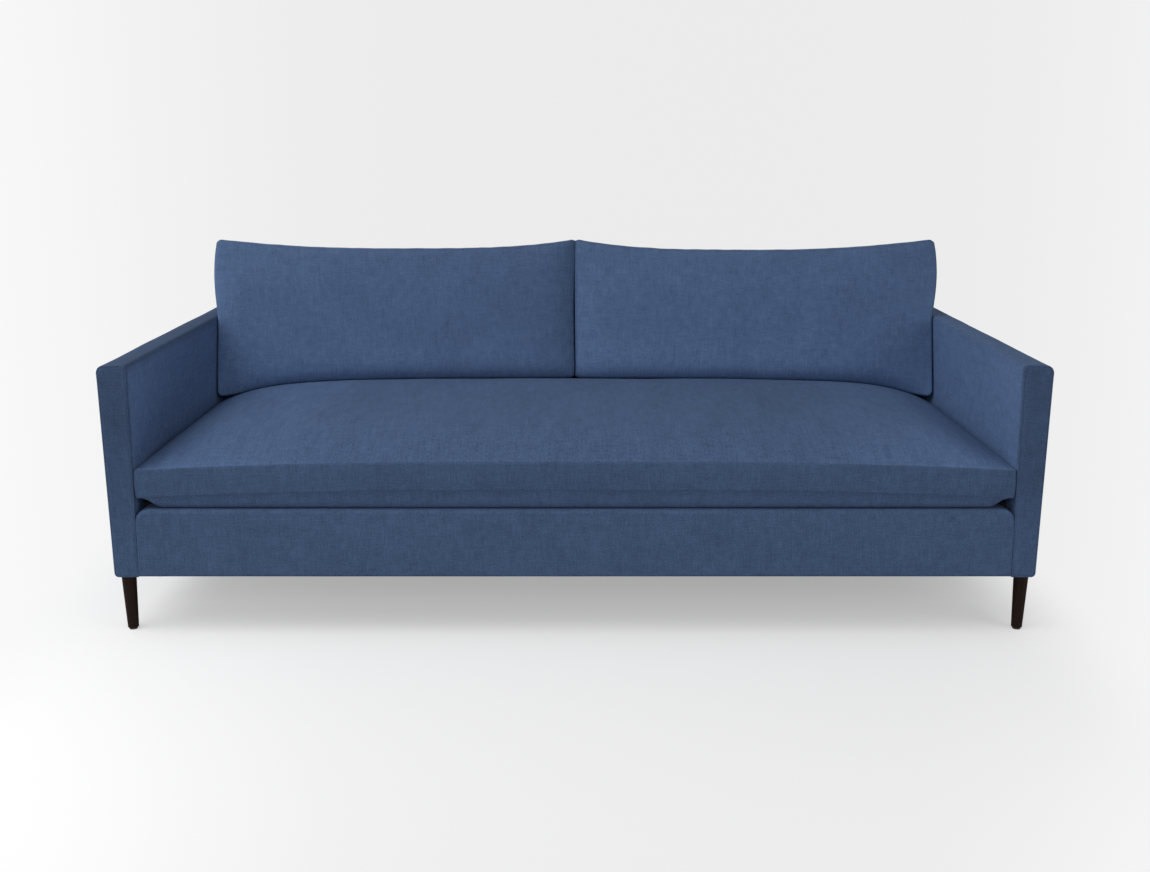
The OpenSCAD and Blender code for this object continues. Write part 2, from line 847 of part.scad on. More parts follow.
seat_upper_z = deck_h + seat_upper_seam;
seat_lower_z = deck_h + seat_lower_seam;
seat_half = inner_x(seat_upper_z + seat_seam_rise) - seat_side_gap - seat_boxing_bulge;
seat_rest_z = deck_h + layer_gap;
seat_cushion_d = inside_back_y(deck_h) - seat_back_gap - front_y - seat_boxing_bulge;
seat_cells = [20, 10];

// u is -1 to 1 across the cushion and v is -1 at its front to 1 at its rear.
function seat_rise(u) = seat_seam_rise * (1 - power(u, 3));
function seat_top(u, v) = seat_upper_z + seat_rise(u) + seat_crown * (1 - power(u, 10)) * (1 - power(v, 4));
function seat_bottom(u, v) =
    let (drawn = seat_lower_z + seat_rise(u), full = (1 - power(u, 16)) * (1 - power(v, 40)))
    drawn - (drawn - seat_rest_z) * full;

function seat_xy(u, v, inset) = [
    u * (seat_half - inset),
    front_y + seat_boxing_bulge + seat_cushion_d / 2 + v * (seat_cushion_d / 2 - inset)
        + seat_corner_draw * power(u, 6) * (1 - v) / 2
];

module seat_form(inset) {
    nu = seat_cells.x;
    nv = seat_cells.y;
    upper = [for (j = [0:nv], i = [0:nu])
        let (u = edge_share(i, nu), v = edge_share(j, nv), p = seat_xy(u, v, inset))
        [p.x, p.y, seat_top(u, v) - inset]];
    lower = [for (j = [0:nv], i = [0:nu])
        let (u = edge_share(i, nu), v = edge_share(j, nv), p = seat_xy(u, v, inset))
        [p.x, p.y, seat_bottom(u, v) + inset]];
    boxing = [for (r = rim(nu, nv))
        let (
            u = edge_share(r.x, nu),
            v = edge_share(r.y, nv),
            p = seat_xy(u, v, inset),
            out_x = r.x == 0 ? -1 : r.x == nu ? 1 : 0,
            out_y = r.y == 0 ? -1 : 0
        )
        [p.x + out_x * seat_boxing_bulge, p.y + out_y * seat_boxing_bulge,
            (seat_top(u, v) + seat_bottom(u, v)) / 2]];
    cushion_body(lower, upper, boxing, nu, nv);
}

seat_rear_y = front_y + seat_boxing_bulge + seat_cushion_d;
seat_core_z = (seat_upper_z + seat_lower_z) / 2;

module seat_cushion_cover() color(cover_blue) {
    difference() {
        seat_form(0);
        seat_form(cushion_cover_t);
    }
}

module seat_core_box(gap) {
    core_half_x = seat_half - core_inset + gap;
    box([-core_half_x, front_y + seat_boxing_bulge + core_inset - gap, seat_core_z - core_t / 2 - gap],
        [core_half_x, seat_rear_y - core_inset + gap, seat_core_z + core_t / 2 + gap]);
}

module seat_cushion_wrap() color(pad_white) {
    difference() {
        seat_form(cushion_cover_t + layer_gap);
        seat_core_box(layer_gap);
    }
}

module seat_cushion_core() color(foam_cream) seat_core_box(0);

// Back cushions. Each is drawn on the right, with u -1 at the middle of the sofa and 1 at the arm.

// The height of the seat's faceted crown along its middle, where the back cushions' front edge rests.
function seat_v(y) = 2 * (y - front_y - seat_boxing_bulge) / seat_cushion_d - 1;
function crown_under(y) =
    let (
        v = seat_v(y),
        j = [for (k = [0:seat_cells.y - 1]) if (edge_share(k + 1, seat_cells.y) >= v) k][0],
        near = edge_share(j, seat_cells.y),
        far = edge_share(j + 1, seat_cells.y),
        way = (v - near) / (far - near)
    )
    seat_top(0, near) * (1 - way) + seat_top(0, far) * way;
function rest_height(z) = crown_under(inside_back_y(z) - back_seam_inset - back_bottom_half);
back_bottom_z = rest_height(rest_height(seat_upper_z)) + cushion_rest_gap;
back_half_w = (inner_x(arm_h) - back_side_gap - back_middle_gap / 2) / 2;
back_mid_x = back_half_w + back_middle_gap / 2;

// The front's lower edge sinks by this share of the fall of the seat's crown towards the arm.
sink_share = 0.6;
function front_sink(u) =
    let (across = (back_mid_x + u * back_half_w) / seat_half, v = seat_v(seam_y(-1) - back_bottom_half))
    sink_share * (seat_top(0, v) - seat_top(min(across, 1), v));

function ear_drop(u) = back_ear_r * (1 - sqrt(1 - power(u, 40)));
function back_top(u) = back_bottom_z + back_cushion_h + back_ear_h * power(u, 2.4) - ear_drop(u);
function back_z(u, v, sink) = back_top(u) - (back_top(u) - back_bottom_z + sink) * (1 - v) / 2;
function seam_y(v) = inside_back_y(back_bottom_z) - back_seam_inset + (v + 1) / 2
    * (back_cushion_h * tan(back_lean) - back_seam_shift);

// The edges are thicker at the sides and the bottom than at the top, and thickest in the lower outer corner.
side_fall_share = 0.6;
plump_fall_share = 0.22;
function edge_half(u, v) =
    let (side = power(u, 8) * (u > 0 && v < 0 ? 1 : 1 - power(v, 10)), up = (v + 1) / 2)
    (back_bottom_half * (1 - up) + back_top_half * up) * (1 - side)
        + back_side_half * (1 - side_fall_share * v) * side;
function plump(u, v) = (1 - power(u, 8)) * (1 - power(v, 6)) * (1 - plump_fall_share * v);

// The outer side swells out by this share of back_arm_swell at the height z.
function swell_share(u, z) = u <= 0 ? 0 : power(u, 4) * max(0, min(1, (z - arm_h) / back_swell_rise));

back_cells = [14, 12];
module back_form(inset, swell = 0) {
    nu = back_cells.x;
    nv = back_cells.y;
    grid = [for (j = [0:nv], i = [0:nu]) [edge_share(i, nu), edge_share(j, nv)]];
    function x_at(u, z) = back_mid_x + u * (back_half_w - inset) + swell * swell_share(u, z);
    front = [for (g = grid)
        let (z = back_z(g.x, g.y, front_sink(g.x)) - inset * g.y)
        [x_at(g.x, z), seam_y(g.y) - edge_half(g.x, g.y) - back_front_bulge * plump(g.x, g.y) + inset, z]];
    rear = [for (g = grid)
        let (
            z = back_z(g.x, g.y, 0) - inset * g.y,
            free_y = seam_y(g.y) + edge_half(g.x, g.y) + back_rear_bulge * plump(g.x, g.y)
        )
        [x_at(g.x, z), min(free_y, inside_back_y(z) - cushion_rest_gap) - inset, z]];
    band = [for (r = rim(nu, nv))
        let (u = edge_share(r.x, nu), v = edge_share(r.y, nv), z = back_z(u, v, 0) - inset * v)
        [x_at(u, z), seam_y(v), z]];
    cushion_body(rear, front, band, nu, nv);
}

module back_cushion_cover(side) color(cover_blue) {
    on_side(side) difference() {
        back_form(0, back_arm_swell);
        back_form(cushion_cover_t);
    }
}

module back_cushion_fill(side) color(pad_white) on_side(side) back_form(cushion_cover_t + layer_gap);

// Zips. Each lies along X with its chain standing up along +Z, and is turned into place.

seat_zip_len = 2 * (seat_half - seat_zip_inset);
back_zip_len = 2 * (back_half_w - back_zip_inset);

module zip(length) {
    box([-length / 2, -zip_tape_w / 2, 0], [length / 2, zip_tape_w / 2, zip_tape_t]);
    box([-length / 2, -zip_chain_w / 2, zip_tape_t], [length / 2, zip_chain_w / 2, zip_tape_t + zip_chain_t]);
    for (stop_x = [-length / 2, length / 2 - zip_stop_len])
        box([stop_x, -zip_chain_w, zip_tape_t],
            [stop_x + zip_stop_len, zip_chain_w, zip_tape_t + zip_chain_t + slider_wall]);
}

// The slider starts at the closed end, next to the stop.
module zip_slider(length) {
    slider_h = zip_chain_t + slider_gap + slider_wall;
    slider_half = zip_chain_w / 2 + slider_gap + slider_wall;
    start_x = -length / 2 + zip_stop_len + slider_gap;
    translate([start_x, 0, zip_tape_t]) difference() {
        box([0, -slider_half, slider_gap], [slider_len, slider_half, slider_h + slider_gap]);
        box([-overrun, -zip_chain_w / 2 - slider_gap, -overrun],
            [slider_len + overrun, zip_chain_w / 2 + slider_gap, zip_chain_t + slider_gap]);
    }
}

module at_seat_zip() {
    translate([0, seat_rear_y, seat_core_z + seat_seam_rise / 2]) rotate([-90, 0, 0]) children();
}

module at_back_zip(side) {
    translate([side * back_mid_x, seam_y(-1) + back_bottom_half / 2, back_bottom_z])
        rotate([180, 0, 0]) children();
}

module seat_cushion_zip() color(cloth_black) at_seat_zip() zip(seat_zip_len);
module seat_zip_slider() color(steel_grey) at_seat_zip() zip_slider(seat_zip_len);
module back_cushion_zip(side) color(cloth_black) at_back_zip(side) zip(back_zip_len);
module back_zip_slider(side) color(steel_grey) at_back_zip(side) zip_slider(back_zip_len);

front_seat_rail();
rear_seat_rail();
side_rail(-1);  // left_side_rail
side_rail(1);  // right_side_rail
front_post(-1);  // left_front_post
front_post(1);  // right_front_post
rear_post(-1);  // left_rear_post
rear_post(1);  // right_rear_post
arm_top_rail(-1);  // left_arm_top_rail
arm_top_rail(1);  // right_arm_top_rail
arm_slat(-1);  // left_arm_slat
arm_slat(1);  // right_arm_slat
back_top_rail();
back_slat();
back_uprights();
seat_stretchers();
corner_blocks();
frame_screws();
seat_springs();
spring_clips();
spring_ties();
back_webbing();
arm_board(-1);  // left_arm_board
arm_board(1);  // right_arm_board
back_board();
arm_pad(-1);  // left_arm_pad
arm_pad(1);  // right_arm_pad
back_pad();
front_rail_pad();
deck_insulator();
deck_pad();
arm_cover(-1);  // left_arm_cover
arm_cover(1);  // right_arm_cover
inside_back_cover();
outside_back_cover();
front_rail_cover();
deck_cover();
dust_cover();
leg(-1, -1);  // front_left_leg
leg(1, -1);  // front_right_leg
leg(-1, 1);  // rear_left_leg
leg(1, 1);  // rear_right_leg
leg_bolts();
leg_inserts();
leg_plates();
leg_glides();
seat_cushion_cover();
seat_cushion_wrap();
seat_cushion_core();
seat_cushion_zip();
seat_zip_slider();
back_cushion_cover(-1);  // left_back_cushion_cover
back_cushion_fill(-1);  // left_back_cushion_fill
back_cushion_zip(-1);  // left_back_cushion_zip
back_zip_slider(-1);  // left_back_zip_slider
back_cushion_cover(1);  // right_back_cushion_cover
back_cushion_fill(1);  // right_back_cushion_fill
back_cushion_zip(1);  // right_back_cushion_zip
back_zip_slider(1);  // right_back_zip_slider
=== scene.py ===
"""Tuxedo sofa: upholstery, seams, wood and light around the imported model.

Metres, Z up, the floor at zero. X runs across the seat and the sofa faces -Y.
"""
import math

import bpy
import numpy as np
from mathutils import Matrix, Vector, noise


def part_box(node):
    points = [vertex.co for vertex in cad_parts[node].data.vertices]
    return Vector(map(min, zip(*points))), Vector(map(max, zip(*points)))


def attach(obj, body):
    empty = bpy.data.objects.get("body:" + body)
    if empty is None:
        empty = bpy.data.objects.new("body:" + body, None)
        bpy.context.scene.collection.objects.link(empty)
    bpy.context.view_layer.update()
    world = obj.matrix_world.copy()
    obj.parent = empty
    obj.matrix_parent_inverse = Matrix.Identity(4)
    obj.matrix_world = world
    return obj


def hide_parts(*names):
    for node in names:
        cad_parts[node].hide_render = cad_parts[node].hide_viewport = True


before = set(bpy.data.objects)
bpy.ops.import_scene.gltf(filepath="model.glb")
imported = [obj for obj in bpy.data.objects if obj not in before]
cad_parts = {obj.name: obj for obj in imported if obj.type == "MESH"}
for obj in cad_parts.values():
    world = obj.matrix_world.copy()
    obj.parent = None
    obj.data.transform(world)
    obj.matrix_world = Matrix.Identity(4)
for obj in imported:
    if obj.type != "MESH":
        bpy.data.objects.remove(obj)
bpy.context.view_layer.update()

# The sofa's own sizes, read from the solids or repeated from their source.
RIGHT_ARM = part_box("right_arm_cover")
HALF_WIDTH = RIGHT_ARM[1].x
FRONT_Y, REAR_Y = RIGHT_ARM[0].y, RIGHT_ARM[1].y
UNDERSIDE, ARM_TOP = RIGHT_ARM[0].z, RIGHT_ARM[1].z
ARM_TOP_WIDTH, ARM_BOTTOM_WIDTH = 0.067, 0.0555
ARM_SLOPE = (ARM_TOP_WIDTH - ARM_BOTTOM_WIDTH) / (ARM_TOP - UNDERSIDE)
BACK_TOP_WIDTH, BACK_LEAN = 0.080, math.tan(math.radians(4))
DECK_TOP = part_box("deck_cover")[1].z
DECK_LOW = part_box("deck_pad")[0].z
OUTSIDE_BACK_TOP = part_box("outside_back_cover")[1].z

# The least room between two covers, and how far one may stand proud of its solid in front, and beside or behind it.
SKIN, PROUD, PROUD_BEHIND = 0.0003, 0.002, 0.001

# Arms: radii of the rear corner and the front edge, and how far below the top the outside's seam runs.
ARM_REAR_CORNER, ARM_EDGE, ARM_TOP_SEAM = 0.030, 0.003, 0.021

# Front rail: depth, radii of its edges and upper corners, the edge that the seat cushion lies on, and how far its
# rounded ends run past the arms' inner faces, which cut them off, so that no groove shows there.
RAIL_LIP, RAIL_ROUND, RAIL_CORNER, RAIL_EDGE, RAIL_PAST_ARM = 0.060, 0.009, 0.035, 0.010, 0.005

# Seat cushion: bulge of its boxing, room at its ends, heights of its seams at the ends, their rise in the middle, the
# crown of its top, how far the lower corners are drawn in, the roll of its lower edge and its upright corners.
SEAT_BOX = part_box("seat_cushion_cover")
SEAT_BULGE, SEAT_END_GAP = 0.003, 0.0004
SEAT_HALF = SEAT_BOX[1].x - SEAT_END_GAP
SEAT_FRONT, SEAT_REAR = SEAT_BOX[0].y + SEAT_BULGE, SEAT_BOX[1].y
SEAT_LOWER, SEAT_UPPER = DECK_TOP + 0.025, DECK_TOP + 0.093
SEAT_RISE, SEAT_CROWN, SEAT_CORNER_DRAW = 0.020, 0.064, 0.003
SEAT_ROLL, SEAT_CORNER = 0.015, 0.0025
SEAM_POWER, SEAT_END_POWER, SEAT_DEPTH_POWER = 3, 10, 4
# Shallow folds across the front of the seat: place along X, lean, width and depth.
SEAT_FOLDS = ((-0.66, 0.16, 0.016, 0.0022), (-0.60, 0.22, 0.020, -0.0020),
              (-0.55, 0.10, 0.015, 0.0015), (0.42, -0.12, 0.022, 0.0013))

# Back cushions: their ends, the seam behind them, and their height with the standing corners.
BACK_INNER_X, BACK_OUTER_X = 0.0005, HALF_WIDTH - ARM_TOP_WIDTH - 0.0015
BACK_SEAM_INSET, BACK_SEAM_SHIFT = 0.072, 0.002
BACK_HEIGHT, BACK_CORNER, BACK_EAR, BACK_EAR_POWER, BACK_MIDDLE_EAR_POWER = 0.358, 0.012, 0.026, 2.4, 3.4
# Half their thickness at the middle seam, at the arm, at the top and at the bottom, and the radii of the front's edge.
BACK_SIDE, BACK_ARM_SIDE, BACK_TOP, BACK_BOTTOM = 0.057, 0.088, 0.017, 0.060
BACK_MIDDLE_FILLET, BACK_ARM_FILLET = 0.010, 0.006
BACK_FRONT_BULGE, BACK_REAR_BULGE = 0.034, 0.046
# How they widen above the arms and low down, how far their sides roll back, and over what width.
BACK_SWELL, BACK_SWELL_RISE, BACK_LOW_SPREAD = 0.013, 0.130, 0.002
BACK_SIDE_ROLL, BACK_ROLL_WIDTH = 0.012, 0.032
# The line between them: how far it wanders, how fast, and how far it opens in front.
MEETING_WANDER, MEETING_PACE, MEETING_OPENING = 0.0022, 42, 0.0016

# Painted light and shade: how much paler or darker each panel's cloth is painted for how light falls on it. An arm's
# values are for the left, -1, and the right, 1, and its top has one for the outer edge and one for the inner.
SEAT_PAINTED_LIGHT, BACK_PAINTED_LIGHT, RAIL_PAINTED_LIGHT = 1.16, 1.44, 1.08
ARM_INSIDE_PAINTED_LIGHT, ARM_TOP_PAINTED_LIGHT, ARM_FRONT_PAINTED_LIGHT = {-1: 1.72, 1: 1.55}, {-1: (0.80, 0.68), 1: (1.06, 1.20)}, 0.86

# Spacing of the grids over the seat cushion and the back cushions.
SEAT_STEP, BACK_STEP = 0.013, 0.012


def inner_x(z):
    """The arm's inner face at height z."""
    return HALF_WIDTH - ARM_BOTTOM_WIDTH - ARM_SLOPE * (z - UNDERSIDE)


def inside_back_y(z):
    """The leaning face that the back cushions stand against."""
    return REAR_Y - BACK_TOP_WIDTH - (ARM_TOP - z) * BACK_LEAN


# Cloth panels

SEAM_PLACES = (0.0, 0.0008, 0.0018, 0.003, 0.0045, 0.0065, 0.009, 0.0125)


def spread(length, step):
    """Shares from 0 to 1 along a length, close together near both ends."""
    near = np.array(SEAM_PLACES) / length
    count = max(2, round((1 - 2 * near[-1]) * length / step))
    middle = np.linspace(near[-1], 1 - near[-1], count + 1)[1:-1]
    return np.concatenate([near, middle, 1 - near[::-1]])


def hump(distance, at, width):
    """1 at one distance, falling smoothly away on both sides."""
    return np.exp(-(((distance - at) / width) ** 2))


def seam_lift(distance, ridge=0.0011, groove=0.0017):
    """A plain seam seen from the side: stitches pull the cloth in between two soft rolls."""
    return ridge * hump(distance, 0.0042, 0.003) - groove * hump(distance, 0, 0.0014)


def painted_seam_light(distance, width=0.006):
    """Painted highlight on the rolls beside a seam, and painted shade where it is sewn in."""
    return hump(distance, 0, width) - 2.2 * hump(distance, 0, 0.0016)


def together(*numbers):
    """Points from their separate numbers, whose arrays may be spread over each other."""
    return np.stack(np.broadcast_arrays(*numbers), -1)


def unit(vectors):
    return vectors / np.linalg.norm(vectors, axis=-1, keepdims=True)


def mixed(a, b, share):
    """What lies a share of the way from a to b."""
    return a * (1 - share) + b * share


def put_in_scene(name, data):
    thing = bpy.data.objects.new(name, data)
    bpy.context.scene.collection.objects.link(thing)
    return thing


def eased(share):
    share = np.clip(share, 0, 1)
    return share * share * (3 - 2 * share)


def wander(points, size, seed):
    """Smooth noise between -1 and 1 over points, with bumps about size across."""
    shift = Vector((seed, 2.7 * seed, -1.3 * seed))
    values = [noise.noise(Vector(p) / size + shift) for p in points.reshape(-1, 3)]
    return np.array(values).reshape(points.shape[:-1])


def lumpy(points, *lumps):
    """Uneven filling. Each of lumps is a depth, a size across and a seed."""
    return sum(depth * wander(points, size, seed) for depth, size, seed in lumps)


def pleats(along, from_seam, depth, size, at, width, seed, layer=0.0, stretch=1.0):
    """Small pleats that run in from a seam and are deepest at one distance from it."""
    return depth * wander(together(along, from_seam * stretch, layer), size, seed) * hump(from_seam, at, width)


def rim(grid):
    """The edge of a grid of points, once around and closed."""
    return np.concatenate([grid[0, :-1], grid[:-1, -1], grid[-1, :0:-1], grid[::-1, 0]])


def way_along(line):
    """The length walked at each point of a line."""
    return np.concatenate([[0], np.cumsum(np.linalg.norm(np.diff(line, axis=0), axis=1))])


def vertex_normals(points, quads):
    a, b, c, d = (points[quads[:, k]] for k in range(4))
    face = np.cross(c - a, d - b)
    total = np.zeros_like(points)
    for corner in range(4):
        for axis in range(3):
            total[:, axis] += np.bincount(quads[:, corner], face[:, axis], len(points))
    return total / np.maximum(np.linalg.norm(total, axis=1), 1e-12)[:, None]


class Shell:
    """Panels of cloth that are sewn along their shared edges into one closed piece."""

    def __init__(self):
        self.points, self.grain, self.lift, self.rub, self.faces = [], [], [], [], []
        self.count = 0

    def panel(self, points, grain, lift=0, rub=0, flip=False, painted_light=1.0):
        """grain lays the weave on the panel. The number after lift is the painted highlight and shade beside seams, and
        the last one is painted light and shade: how much paler or darker the panel is painted for how light falls on
        it.
        """
        rows, cols = points.shape[:2]
        at = self.count + np.arange(rows * cols).reshape(rows, cols)
        corners = [at[:-1, :-1], at[:-1, 1:], at[1:, 1:], at[1:, :-1]]
        self.faces.append(np.stack(corners[::-1] if flip else corners, -1).reshape(-1, 4))
        self.points.append(points.reshape(-1, 3))
        self.grain.append(together(grain[..., 0], grain[..., 1], painted_light).reshape(-1, 3))
        self.lift.append((0.0 * at + lift).ravel())
        self.rub.append((0.0 * at + rub).ravel())
        self.count += rows * cols

    def build(self, name, shape=None, limit=None, mirrored=False):
        """Joins the panels, moves each point out by its lift, and makes the piece."""
        points, grain = np.concatenate(self.points), np.concatenate(self.grain)
        faces = np.concatenate(self.faces)
        _, first, shared = np.unique(np.round(points, 6), axis=0, return_index=True, return_inverse=True)
        shared = shared.ravel()
        times = np.bincount(shared)
        lift = np.bincount(shared, np.concatenate(self.lift)) / times
        rub = np.bincount(shared, np.concatenate(self.rub)) / times
        points, quads = points[first], shared[faces]
        whole = (np.diff(np.sort(quads, 1), axis=1) > 0).all(1)
        quads, faces = quads[whole], faces[whole]
        if shape:
            points = shape(points)
        a, b, c, d = (points[quads[:, k]] for k in range(4))
        if (a * np.cross(b - d, c)).sum() < 0:  # the faces look inwards
            quads, faces = quads[:, ::-1], faces[:, ::-1]
        points = points + vertex_normals(points, quads) * lift[:, None]
        if limit:
            points = limit(points)
        if mirrored:
            points = points * (-1, 1, 1)
            quads, faces = quads[:, ::-1], faces[:, ::-1]
        mesh = bpy.data.meshes.new(name)
        mesh.from_pydata(points.tolist(), [], quads.tolist())
        mesh.polygons.foreach_set("use_smooth", np.ones(len(quads), bool))
        layer = mesh.attributes.new("grain", "FLOAT_VECTOR", "CORNER")
        layer.data.foreach_set("vector", grain[faces.ravel()].astype(np.float32).ravel())
        layer = mesh.attributes.new("rub", "FLOAT", "POINT")
        layer.data.foreach_set("value", rub.astype(np.float32))
        return put_in_scene(name, mesh)


def dress(piece, body, covers):
    """Hangs a padded piece on its body in place of the solids that it stands for."""
    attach(piece, body)
    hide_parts(*covers)
    return piece


def between_arms(points, front, rear, low, high=np.inf):
    """Keeps points off the arms' inner faces and within bounds along Y and Z."""
    x, y, z = points.T
    reach = inner_x(z) - SKIN
    return together(np.clip(x, -reach, reach), np.clip(y, front, rear), np.clip(z, low, high))


def rounded_corners(x, y, half_x, half_y, radius):
    """Rounds the four corners of a centred grid, ring by ring."""
    a = np.maximum(radius - (half_x - np.abs(x)), 0)
    b = np.maximum(radius - (half_y - np.abs(y)), 0)
    reach = np.hypot(a, b)
    scale = np.where(reach > 0, np.maximum(a, b) / np.maximum(reach, 1e-12), 1)
    return (np.where(a > 0, np.sign(x) * (half_x - radius + a * scale), x),
            np.where(b > 0, np.sign(y) * (half_y - radius + b * scale), y))


# Seat cushion

def seam_rise(u):
    """How far the seat's seams stand above their height at its ends."""
    return SEAT_RISE * (1 - np.abs(u) ** SEAM_POWER)


def seat_crown(x, y, u, v):
    """Height of the seat's top, with the gentle unevenness of its filling."""
    full = (1 - np.abs(u) ** SEAT_END_POWER) * (1 - v ** SEAT_DEPTH_POWER)
    uneven = lumpy(together(x, y, 0.0), (0.0022, 0.34, 3.1), (0.0009, 0.12, 7.7))
    return SEAT_UPPER + seam_rise(u) + SEAT_CROWN * full + uneven * np.minimum(1, 4 * full)


def seat_surface(x, y):
    """The seat's top under a point, for what rests on it."""
    u = np.clip(x / SEAT_HALF, -1, 1)
    v = np.clip(2 * (y - SEAT_FRONT) / (SEAT_REAR - SEAT_FRONT) - 1, -1, 1)
    return seat_crown(x, y, u, v)


def under_seat(y):
    """What the seat cushion lies on: the deck, and the rounded front edge of the rail."""
    over = np.clip(RAIL_EDGE - (y - FRONT_Y), 0, RAIL_EDGE)
    return DECK_TOP + SKIN - RAIL_EDGE + np.sqrt(RAIL_EDGE ** 2 - over ** 2)


def seat_cushion():
    half_y, middle_y = (SEAT_REAR - SEAT_FRONT) / 2, (SEAT_REAR + SEAT_FRONT) / 2
    u, v = np.meshgrid(2 * spread(2 * SEAT_HALF, SEAT_STEP) - 1, 2 * spread(2 * half_y, SEAT_STEP) - 1)
    x, y = rounded_corners(u * SEAT_HALF, v * half_y, SEAT_HALF, half_y, SEAT_CORNER)
    from_end, from_side = (1 - np.abs(u)) * SEAT_HALF, (1 - np.abs(v)) * half_y
    edge = np.minimum(from_end, from_side)
    y = middle_y + y + SEAT_CORNER_DRAW * np.abs(u) ** 6 * (1 - v) / 2

    folds = sum(depth * hump(x - at - lean * (y - FRONT_Y), 0, wide) for at, lean, wide, depth in SEAT_FOLDS)
    gathers = pleats(np.where(from_end < from_side, y, x), edge, 0.0011, 0.026, 0.014, 0.018, 11.3, stretch=0.25)
    top = together(x, y, seat_crown(x, y, u, v) + folds * hump(v, -0.45, 0.4))
    shell = Shell()
    # Painted light: the top is painted paler towards its ends, where the arms shade it. All its seams get painted
    # highlight and shade.
    shell.panel(top, together(x, 0.42 * y), seam_lift(edge, 0.0004, 0.0008) + gathers,
                0.8 * painted_seam_light(edge, 0.0035), painted_light=SEAT_PAINTED_LIGHT * (1 + 0.30 * eased((np.abs(u) - 0.5) / 0.35)))

    drawn = SEAT_LOWER + seam_rise(u)
    roll = np.sqrt(1 - (1 - np.minimum(from_side / SEAT_ROLL, 1)) ** 2)
    drop = drawn - under_seat(y)
    sunk = drop * eased((from_end - 0.010) / 0.042) * roll
    bottom = together(x, y, drawn - sunk)
    # The weave follows the cloth down the roll at the front and up again at the rear.
    down = np.where(v < 0, sunk, 2 * drop - sunk)
    shell.panel(bottom, together(x + 5.3, 0.5 * y + down + 2.1), seam_lift(edge, 0.0002, 0.0008),
                0.4 * painted_seam_light(edge), flip=True)

    upper, lower = rim(top), rim(bottom)
    step = np.roll(upper[:-1], -1, 0) - np.roll(upper[:-1], 1, 0)
    out = unit(together(step[:, 1], -step[:, 0], 0.0))
    out = np.concatenate([out, out[:1]])
    around = way_along(upper)[None]
    t = spread(SEAT_UPPER - SEAT_LOWER, 0.008)[:, None]
    height = (upper[:, 2] - lower[:, 2])[None] * (1 - t)
    from_seam = np.minimum(t, 1 - t) * (SEAT_UPPER - SEAT_LOWER) + 0 * around
    bulge = SEAT_BULGE * (1 - np.clip(out[:, 1], 0, 1))[None] * np.sin(np.pi * t) ** 0.7
    boxing = mixed(upper[None], lower[None], t[..., None]) + out[None] * bulge[..., None]
    creases = pleats(around, from_seam, 0.0009, 0.03, 0.012, 0.012, 23.0, layer=4)
    shell.panel(boxing, together(around, height) + (9.1, 4.4),
                seam_lift(from_seam, 0.0003, 0.0009) + creases,
                painted_seam_light(from_seam, 0.0035) * np.where(t < 0.5, 0.5, 0.3), flip=True)

    piece = shell.build("seat_cushion_upholstery", limit=lambda points: between_arms(
        points, SEAT_BOX[0].y - PROUD, SEAT_REAR, under_seat(points[:, 1])))
    return dress(piece, "seat_cushion", ("seat_cushion_cover", "seat_cushion_wrap", "seat_cushion_core"))


# Back cushions

